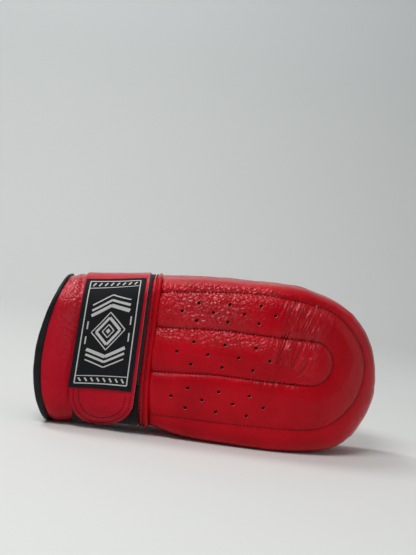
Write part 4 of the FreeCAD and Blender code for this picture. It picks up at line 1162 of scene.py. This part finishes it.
def strap_relief(grid, amount=0.3, seed=4.0):
    """Soft waves on a layer round the cuff, and whether its faces have to be turned to look outward."""
    up, flip = outward(grid, from_axis(grid))
    return raised(grid, up, amount * noise_field(grid, (15.0, 20.0, 20.0), seed)), flip


def strap_piece(name, grid, thick, materials, slot, body, *replaced):
    """One layer of the strap, which waves as the others do; returns its points and outward normals."""
    grid, flip = strap_relief(grid)
    settle(sheet_of(name, grid, thick, materials, flip=flip), body, slot, *replaced)
    return grid, outward(grid, from_axis(grid))[0]


def round_end(radius, steps):
    """Drops below its middle and half widths of a half-round end."""
    turn = np.linspace(0, QUARTER, steps)
    return radius * np.sin(turn), np.maximum(radius * np.cos(turn), 0.4)


places = np.linspace(palm_place(ROOT_Z), back_place(JOIN_Z), 110)
strap, strap_up = strap_piece(
    "strap_leather_band", strap_grid(places, STRAP_HALF, strap_lift(places)), LEATHER, STRAP_RAW,
    "raw_edge_leather", STRAP_HINGE, "strap_root_leather", "strap_leather",
)
drops, halves = round_end(STRAP_HALF, 22)
places = back_place(np.concatenate([np.linspace(JOIN_Z, TAB_Z, 10)[:-1], TAB_Z - drops]))
halves = np.concatenate([np.full(9, STRAP_HALF), halves])
tab, tab_up = strap_piece(
    "pull_tab_leather", strap_grid(places, halves, strap_lift(places)), LEATHER, STRAP_RAW,
    "raw_edge_leather", TAB_HINGE, "tab_leather",
)
places = np.linspace(palm_place(ROOT_Z - 2), back_place(JOIN_Z), 90)
strap_piece(
    "strap_webbing_band", strap_grid(places, STRAP_HALF + 0.7, strap_lift(places) - 1.35, drift=1.6), 1.1,
    [WEBBING] * 3, "tape", STRAP_HINGE, "strap_root_webbing", "strap_webbing",
)
# the hook tape starts just under the fold, so that it turns with the tab alone
drops, halves = round_end(STRAP_HALF - 1.8, 26)
strap_piece(
    "pull_tab_hook_tape", strap_grid(back_place(TAB_Z - 1.6 - drops), halves, 2.65, drift=0.3), 0.8,
    [TAPE] * 3, "tape", "pull_tab", "tab_hook_tape",
)

# the loop pad under the tab, on the cuff
places = np.linspace(back_place(LOOP_Z), 6.5, 60)[:, None]
right = STRAP_X + STRAP_HALF + 1.7 + 3.6 * (1 - smooth(14.0, 58.0, cuff_point(STRAP_X, places, 1.5)[..., 2]))
left = STRAP_X - STRAP_HALF + 3.4
grid, flip = strap_relief(cuff_point(left + (right - left) * np.linspace(0, 1, 34), places, 1.5), 0.15, 6.0)
settle(sheet_of("loop_pad", grid, 1.2, [TAPE] * 3, flip=flip), "glove", "tape", "loop_tape")

# double stitching round the tab
for label, inset in (("a", 2.8), ("b", 7.0)):
    turn, legs = np.linspace(0, math.pi, 60), np.linspace(34.0, TAB_Z, 5)[:-1]
    x = np.concatenate([legs * 0 + 1, np.cos(turn), legs * 0 - 1]) * (STRAP_HALF - inset) + STRAP_X
    places = back_place(np.concatenate([legs, TAB_Z - (STRAP_HALF - inset) * np.sin(turn), legs[::-1]]))
    path = laid_on(cuff_point(x, places, strap_lift(places) + 0.05), tab, tab_up)
    stitches("stitch_tab_" + label, *path, TAB_HINGE, long=1.25, wide=0.95)

# box stitching where the strap is sewn to the cuff, on the palm side
for label, inset in (("a", 3.0), ("b", 6.5)):
    side, low, high = STRAP_HALF - inset, ROOT_Z + inset, ROOT_Z + BOX_HIGH - inset
    x, z = along_corners([(-side, low), (side, low), (side, high), (-side, high), (-side, low)], 24).T
    path = laid_on(cuff_point(STRAP_X + x, palm_place(z), 2.7), strap, strap_up)
    stitches("stitch_strap_root_" + label, *path, long=1.35, wide=0.9)

# ---------------------------------------------------------------- patch

PATCH_X = STRAP_X - 1.5
PATCH_HALF = 23.6
PATCH_LOW, PATCH_HIGH = 33.2, 122.0  # heights of its lower and upper edges
PATCH_PLACES = np.linspace(back_place(PATCH_LOW), back_place(PATCH_HIGH), 60)
steps = np.linalg.norm(np.diff(cuff_point(PATCH_X, PATCH_PLACES, 4.5), axis=0), axis=1)
PATCH_RUN = np.concatenate([[0], np.cumsum(steps)])
PATCH_LONG = PATCH_RUN[-1]
SEWN = 0.955  # share of the patch's half width at which it is stitched
MARGIN = 4.2  # how far the printed border lies inside the patch

print_points, print_faces = [], []


def patch_point(u, v, lift):
    """A point of the patch: u from -1 to 1 across, v from 0 at its lower edge to 1 at its upper edge."""
    x = PATCH_X + 1.2 * (v - 0.3) - 0.4 * (1 - v) + u * (PATCH_HALF + 1.3 * (1 - v))
    v = v + (1 - v) * 0.022 * (u + 0.6) + v * 0.006 * (1 - u)
    q = np.interp(v * PATCH_LONG, PATCH_RUN, PATCH_PLACES)
    return cuff_point(x, q, strap_lift(q) + lift)


def print_quad(corners, steps=10):
    """A printed shape with four corners in mm on the patch: across from its middle, up from its lower edge."""
    a, b, c, d = np.asarray(corners, float)
    s, t = (share[..., None] for share in np.meshgrid(np.linspace(0, 1, 3), np.linspace(0, 1, steps)))
    x, y = np.moveaxis((a * (1 - s) + b * s) * (1 - t) + (c * s + d * (1 - s)) * t, -1, 0)
    grid, flip = strap_relief(patch_point(x / PATCH_HALF, y / PATCH_LONG, 1.12))
    print_faces.extend(grid_quads(*grid.shape[:2], start=len(print_points), flip=flip))
    print_points.extend(grid.reshape(-1, 3).tolist())


def bar_line(x0, y0, x1, y1, wide):
    """A printed line between two points of the patch."""
    start, end = np.array([x0, y0], float), np.array([x1, y1], float)
    long = np.linalg.norm(end - start)
    side = np.array([y0 - y1, x1 - x0]) / long * wide / 2
    print_quad([start - side, start + side, end + side, end - side], max(3, int(long / 3)))


def patch_print():
    """A generic woven design: a bordered field of chevrons above and below a lozenge, between rows of ticks."""
    top, side = PATCH_LONG - MARGIN, PATCH_HALF - 4.0
    middle = (MARGIN + top) / 2
    for y in (MARGIN, top):
        bar_line(-side, y, side, y, 0.85)
    for x in (-side, side):
        bar_line(x, MARGIN, x, top, 0.85)
    for rule, border in ((MARGIN + 6.4, MARGIN), (top - 6.4, top)):
        bar_line(-side, rule, side, rule, 0.6)
        for step in range(8):
            x = (step - 3.5) * 4.6
            bar_line(x - 1.0, rule * 0.72 + border * 0.28, x + 1.0, rule * 0.28 + border * 0.72, 1.2)
    for reach, wide in ((12.6, 0.8), (9.0, 2.0), (4.4, 0.8)):
        corners = [(0, reach * 1.2), (reach, 0), (0, -reach * 1.2), (-reach, 0)]
        for (ax, ay), (bx, by) in zip(corners, corners[1:] + corners[:1]):
            bar_line(ax, middle + ay, bx, middle + by, wide)
    print_quad([(-1.8, middle), (0, middle - 2.2), (1.8, middle), (0, middle + 2.2)], 3)
    for turned in (-1, 1):
        for step, wide in enumerate((2.6, 1.8, 1.0)):
            y, drop = middle + turned * (20.6 + 4.3 * step), turned * 6.6
            bar_line(-14.5, y - drop, 0, y, wide)
            bar_line(0, y, 14.5, y - drop, wide)
        for x in (-side + 3.4, side - 3.4):
            bar_line(x, middle + turned * 3.0, x, middle + turned * 9.5, 1.0)


u, v = np.meshgrid(np.linspace(-1, 1, 24), np.linspace(0, 1, 44))
label, label_up = strap_piece(
    "strap_patch_label", patch_point(u, v, 1.0), 0.9, [PATCH] * 3, "patch", "strap", "strap_patch"
)
patch_print()
settle(build("strap_patch_print", np.array(print_points), print_faces, [PRINT]), "strap", "patch")

# fine stitching round the patch
corners = [(-SEWN, 0.02), (SEWN, 0.02), (SEWN, 0.98), (-SEWN, 0.98), (-SEWN, 0.02)]
path = laid_on(patch_point(*along_corners(corners, 30).T, 1.0), label, label_up)
stitches("stitch_patch", *path, "strap", "patch", pitch=1.9, long=1.3, wide=0.4, sink=0.1)

# ---------------------------------------------------------------- thumb sheath

TIP_WIDE, TIP_DEEP = 33.0, 13.0  # length of the tip's rounding, seen from the palm and from the side
FLANGE_X, FLANGE_Z, FLANGE_LONG, FLANGE_HIGH = -12.0, 107.5, 19.0, 13.5  # the flange's middle and half sizes


def thumb_grid():
    """The sheath as rings from its root down to its rounded tip."""
    turn = np.linspace(0, 2 * math.pi, 56, endpoint=False)
    z = THUMB_ROOT - (THUMB_ROOT - THUMB_END) * (1 - np.linspace(1, 0, 76)[:, None] ** 1.25)
    root = smooth(THUMB_ROOT, 100.0, z)
    from_tip = z - THUMB_END
    wide = THUMB_HALF * (1 - (1 - np.clip(from_tip / TIP_WIDE, 0, 1)) ** 2.1) ** 0.55 * (0.93 + 0.07 * root)
    full = (THUMB_Y1 - THUMB_Y0) / 2 - 0.4
    swell = 0.86 + 0.14 * np.sin(math.pi * np.minimum((THUMB_ROOT - z) / 100, 1))
    tall = full * np.sqrt(1 - (1 - np.clip(from_tip / TIP_DEEP, 0, 1)) ** 2) * swell * (0.30 + 0.70 * root)
    wide, tall = np.maximum(wide, 0.3), np.maximum(tall, 0.3)
    x = THUMB_X + wide * rounded(np.cos(turn), 0.88)
    y = rounded(np.sin(turn), np.where(np.sin(turn) > 0, 0.88, 0.6)) * tall
    y += THUMB_Y0 + 0.6 + tall - 7.5 * smooth(112.0, THUMB_ROOT, z)
    return np.stack([x, y, z + 0 * x], -1)


def palm_at(x, z, lift):
    """A point of the palm's skin at a place given by x and z."""
    low, high, radius = side_z(x, False), side_z(x, True), corner_r(x)
    flat = np.clip((z - low - radius) / (high - low - 2 * radius), 0, 1.06)
    return palm_point(x, BEND + (1 - 2 * BEND) * flat, lift)


grid = thumb_grid()
rows, columns = grid.shape[:2]
up, flip = outward(grid, grid - grid.mean(1, keepdims=True), wrap_v=True)
z = grid[..., 2]
outer_side = smooth(36.0, 44.0, grid[..., 1])
finger_side = smooth(0.35, 0.8, np.cos(np.linspace(0, 2 * math.pi, columns, endpoint=False)))
pucker = 0.8 * np.sin(z * 2 * math.pi / 4.6 + 0.8 * np.sin(z / 3.1)) * bump(z, 36, 20) * finger_side
long_folds = 1.7 * folds(grid, (12.0, 16.0, 30.0), 3.6, 0.7, 1.9) * outer_side
root_folds = folds(grid, (16.0, 12.0, 5.0), 6.9, 0.6, 1.8) * bump(z, 112, 12)
ridge = 0.9 * bump(grid[..., 1], 40.0, 1.2) * finger_side
relief = pucker + long_folds + root_folds + 0.4 * noise_field(grid, 11.0, 1.9) - ridge
grid = raised(grid, up, relief * smooth(0, 4, z - THUMB_END + 1.5))
faces = grid_quads(rows, columns, False, True, flip=flip)
root, tip = list(range(columns)), list(range((rows - 1) * columns, rows * columns))
faces += [tip[::-1], root] if flip else [tip, root[::-1]]
thumb = build("thumb_sheath_leather", grid.reshape(-1, 3), faces, [PALM_RED])
settle(thumb, THUMB_HINGE, "red_leather", "thumb_leather", "thumb_foam", "thumb_lining", fill=0.7)

# the thumb's root is sewn down with a raw-edged flange, seen as an arch on its finger side
reach, turn = np.meshgrid(np.linspace(0.35, 1, 12), np.linspace(-QUARTER, QUARTER, 40), indexing="ij")
x, z = FLANGE_X + FLANGE_LONG * reach * np.cos(turn), FLANGE_Z + FLANGE_HIGH * reach * np.sin(turn)
grid = palm_at(x, z, 2.0 + 0.5 * reach)
up, flip = outward(grid, UP)
flange = sheet_of("thumb_root_flange", grid, LEATHER, RAW, flip=flip, flare=((0, -1),))
settle(flange, "glove", "raw_edge_leather")
stitches("stitch_thumb_root", grid[-3], up[-3], pitch=2.4, long=1.4)

# ---------------------------------------------------------------- stage, light and camera

# the paper, in metres: half its width, its front and back edges on the table, its sweep's radius and its top
PAPER_HALF, PAPER_FRONT, PAPER_BACK, PAPER_R, PAPER_TOP = 3.5, -0.78, 1.0, 0.6, 3.2


def backdrop():
    """A seamless sweep of pale paper on a table top, whose front edge lies just before the camera."""
    turn = np.linspace(0, QUARTER, 20)[1:]
    curve = zip(PAPER_BACK + PAPER_R * np.sin(turn), PAPER_R * (1 - np.cos(turn)))
    profile = [(PAPER_FRONT, 0.0), (PAPER_BACK, 0.0), *curve, (PAPER_BACK + PAPER_R, PAPER_TOP)]
    points = [(x, y, z) for y, z in profile for x in (-PAPER_HALF, PAPER_HALF)]
    mesh = bpy.data.meshes.new("backdrop")
    mesh.from_pydata(points, [], [[k, k + 1, k + 3, k + 2] for k in range(0, len(points) - 2, 2)])
    mesh.shade_smooth()
    made = bpy.data.objects.new("backdrop", mesh)
    bpy.context.scene.collection.objects.link(made)
    n = Nodes("pale_paper", (0.68, 0.695, 0.69), 0.9, Specular_IOR_Level=0.1)
    where = n.add("ShaderNodeNewGeometry").outputs["Position"]
    # painted shade: the paper's colour turns darker and cooler from the table up the sweep
    pale = n.mix(n.ramp(n.xyz(where)[2], 0.0, 1.2), (0.755, 0.765, 0.745), (0.67, 0.71, 0.72))
    fleck = n.ramp(n.noise(3.0, 3.0, where), 0.3, 0.7, 0.0, 0.04)
    n.link(n.mix(fleck, pale, (0.55, 0.56, 0.56)), "Base Color")
    mesh.materials.append(n.made)


def lamp(name, at, aim, size_m, power):
    """A rectangular area lamp at a place in metres, aimed at another."""
    data = bpy.data.lights.new(name, "AREA")
    data.shape = "RECTANGLE"
    data.size, data.size_y = size_m
    data.energy = power
    made = bpy.data.objects.new(name, data)
    bpy.context.scene.collection.objects.link(made)
    made.location = at
    made.rotation_euler = (Vector(aim) - Vector(at)).to_track_quat("-Z", "Y").to_euler()


def room():
    """Dim, even light from all round, with a plain grey where the camera looks past the paper."""
    world = bpy.data.worlds.new("studio")
    bpy.context.scene.world = world
    world.use_nodes = True
    nodes, links = world.node_tree.nodes, world.node_tree.links
    light = nodes["Background"]
    light.inputs["Color"].default_value = (0.93, 0.96, 1.0, 1)
    light.inputs["Strength"].default_value = 0.14
    behind = nodes.new("ShaderNodeBackground")
    behind.inputs["Color"].default_value = (0.60, 0.63, 0.64, 1)
    choice = nodes.new("ShaderNodeMixShader")
    seen = nodes.new("ShaderNodeLightPath").outputs["Is Camera Ray"]
    for number, output in enumerate((seen, light.outputs[0], behind.outputs[0])):
        links.new(output, choice.inputs[number])
    links.new(choice.outputs[0], nodes["World Output"].inputs["Surface"])


backdrop()
lamp("overhead_softbox", (-0.15, -0.12, 1.2), (0.0, 0.0, 0.0), (1.8, 1.3), 2.75)
lamp("high_key", (-0.34, -0.6, 1.0), (0.0, 0.0, 0.06), (0.6, 0.3), 6.6)
lamp("front_fill", (-1.0, -1.5, 0.9), (0.0, 0.0, 0.06), (0.8, 0.8), 1.8)
lamp("right_fill", (1.6, -0.2, 0.5), (0.0, 0.0, 0.03), (1.0, 0.9), 2.2)
lamp("backdrop_wash", (-0.9, 0.35, 1.9), (-0.1, 1.55, 0.9), (0.9, 0.6), 20.5)
room()

AZIMUTH, ELEVATION, ROLL = math.radians(-2.0), math.radians(2.4), math.radians(7.6)
DISTANCE = 0.8
AIM = Vector((-0.0117, 0.0, 0.1314))
LENS = 62.1

camera_data = bpy.data.cameras.new("camera")
camera_data.lens = LENS
camera_data.sensor_width = 36.0
camera = bpy.data.objects.new("camera", camera_data)
bpy.context.scene.collection.objects.link(camera)
level = math.cos(ELEVATION)
toward = Vector((math.sin(AZIMUTH) * level, -math.cos(AZIMUTH) * level, math.sin(ELEVATION)))
camera.location = AIM + toward * DISTANCE
facing = (-toward).to_track_quat("-Z", "Y").to_matrix()
camera.rotation_euler = (facing @ Matrix.Rotation(ROLL, 3, "Z")).to_euler()
bpy.context.scene.camera = camera
bpy.context.scene.view_settings.view_transform = "Standard"
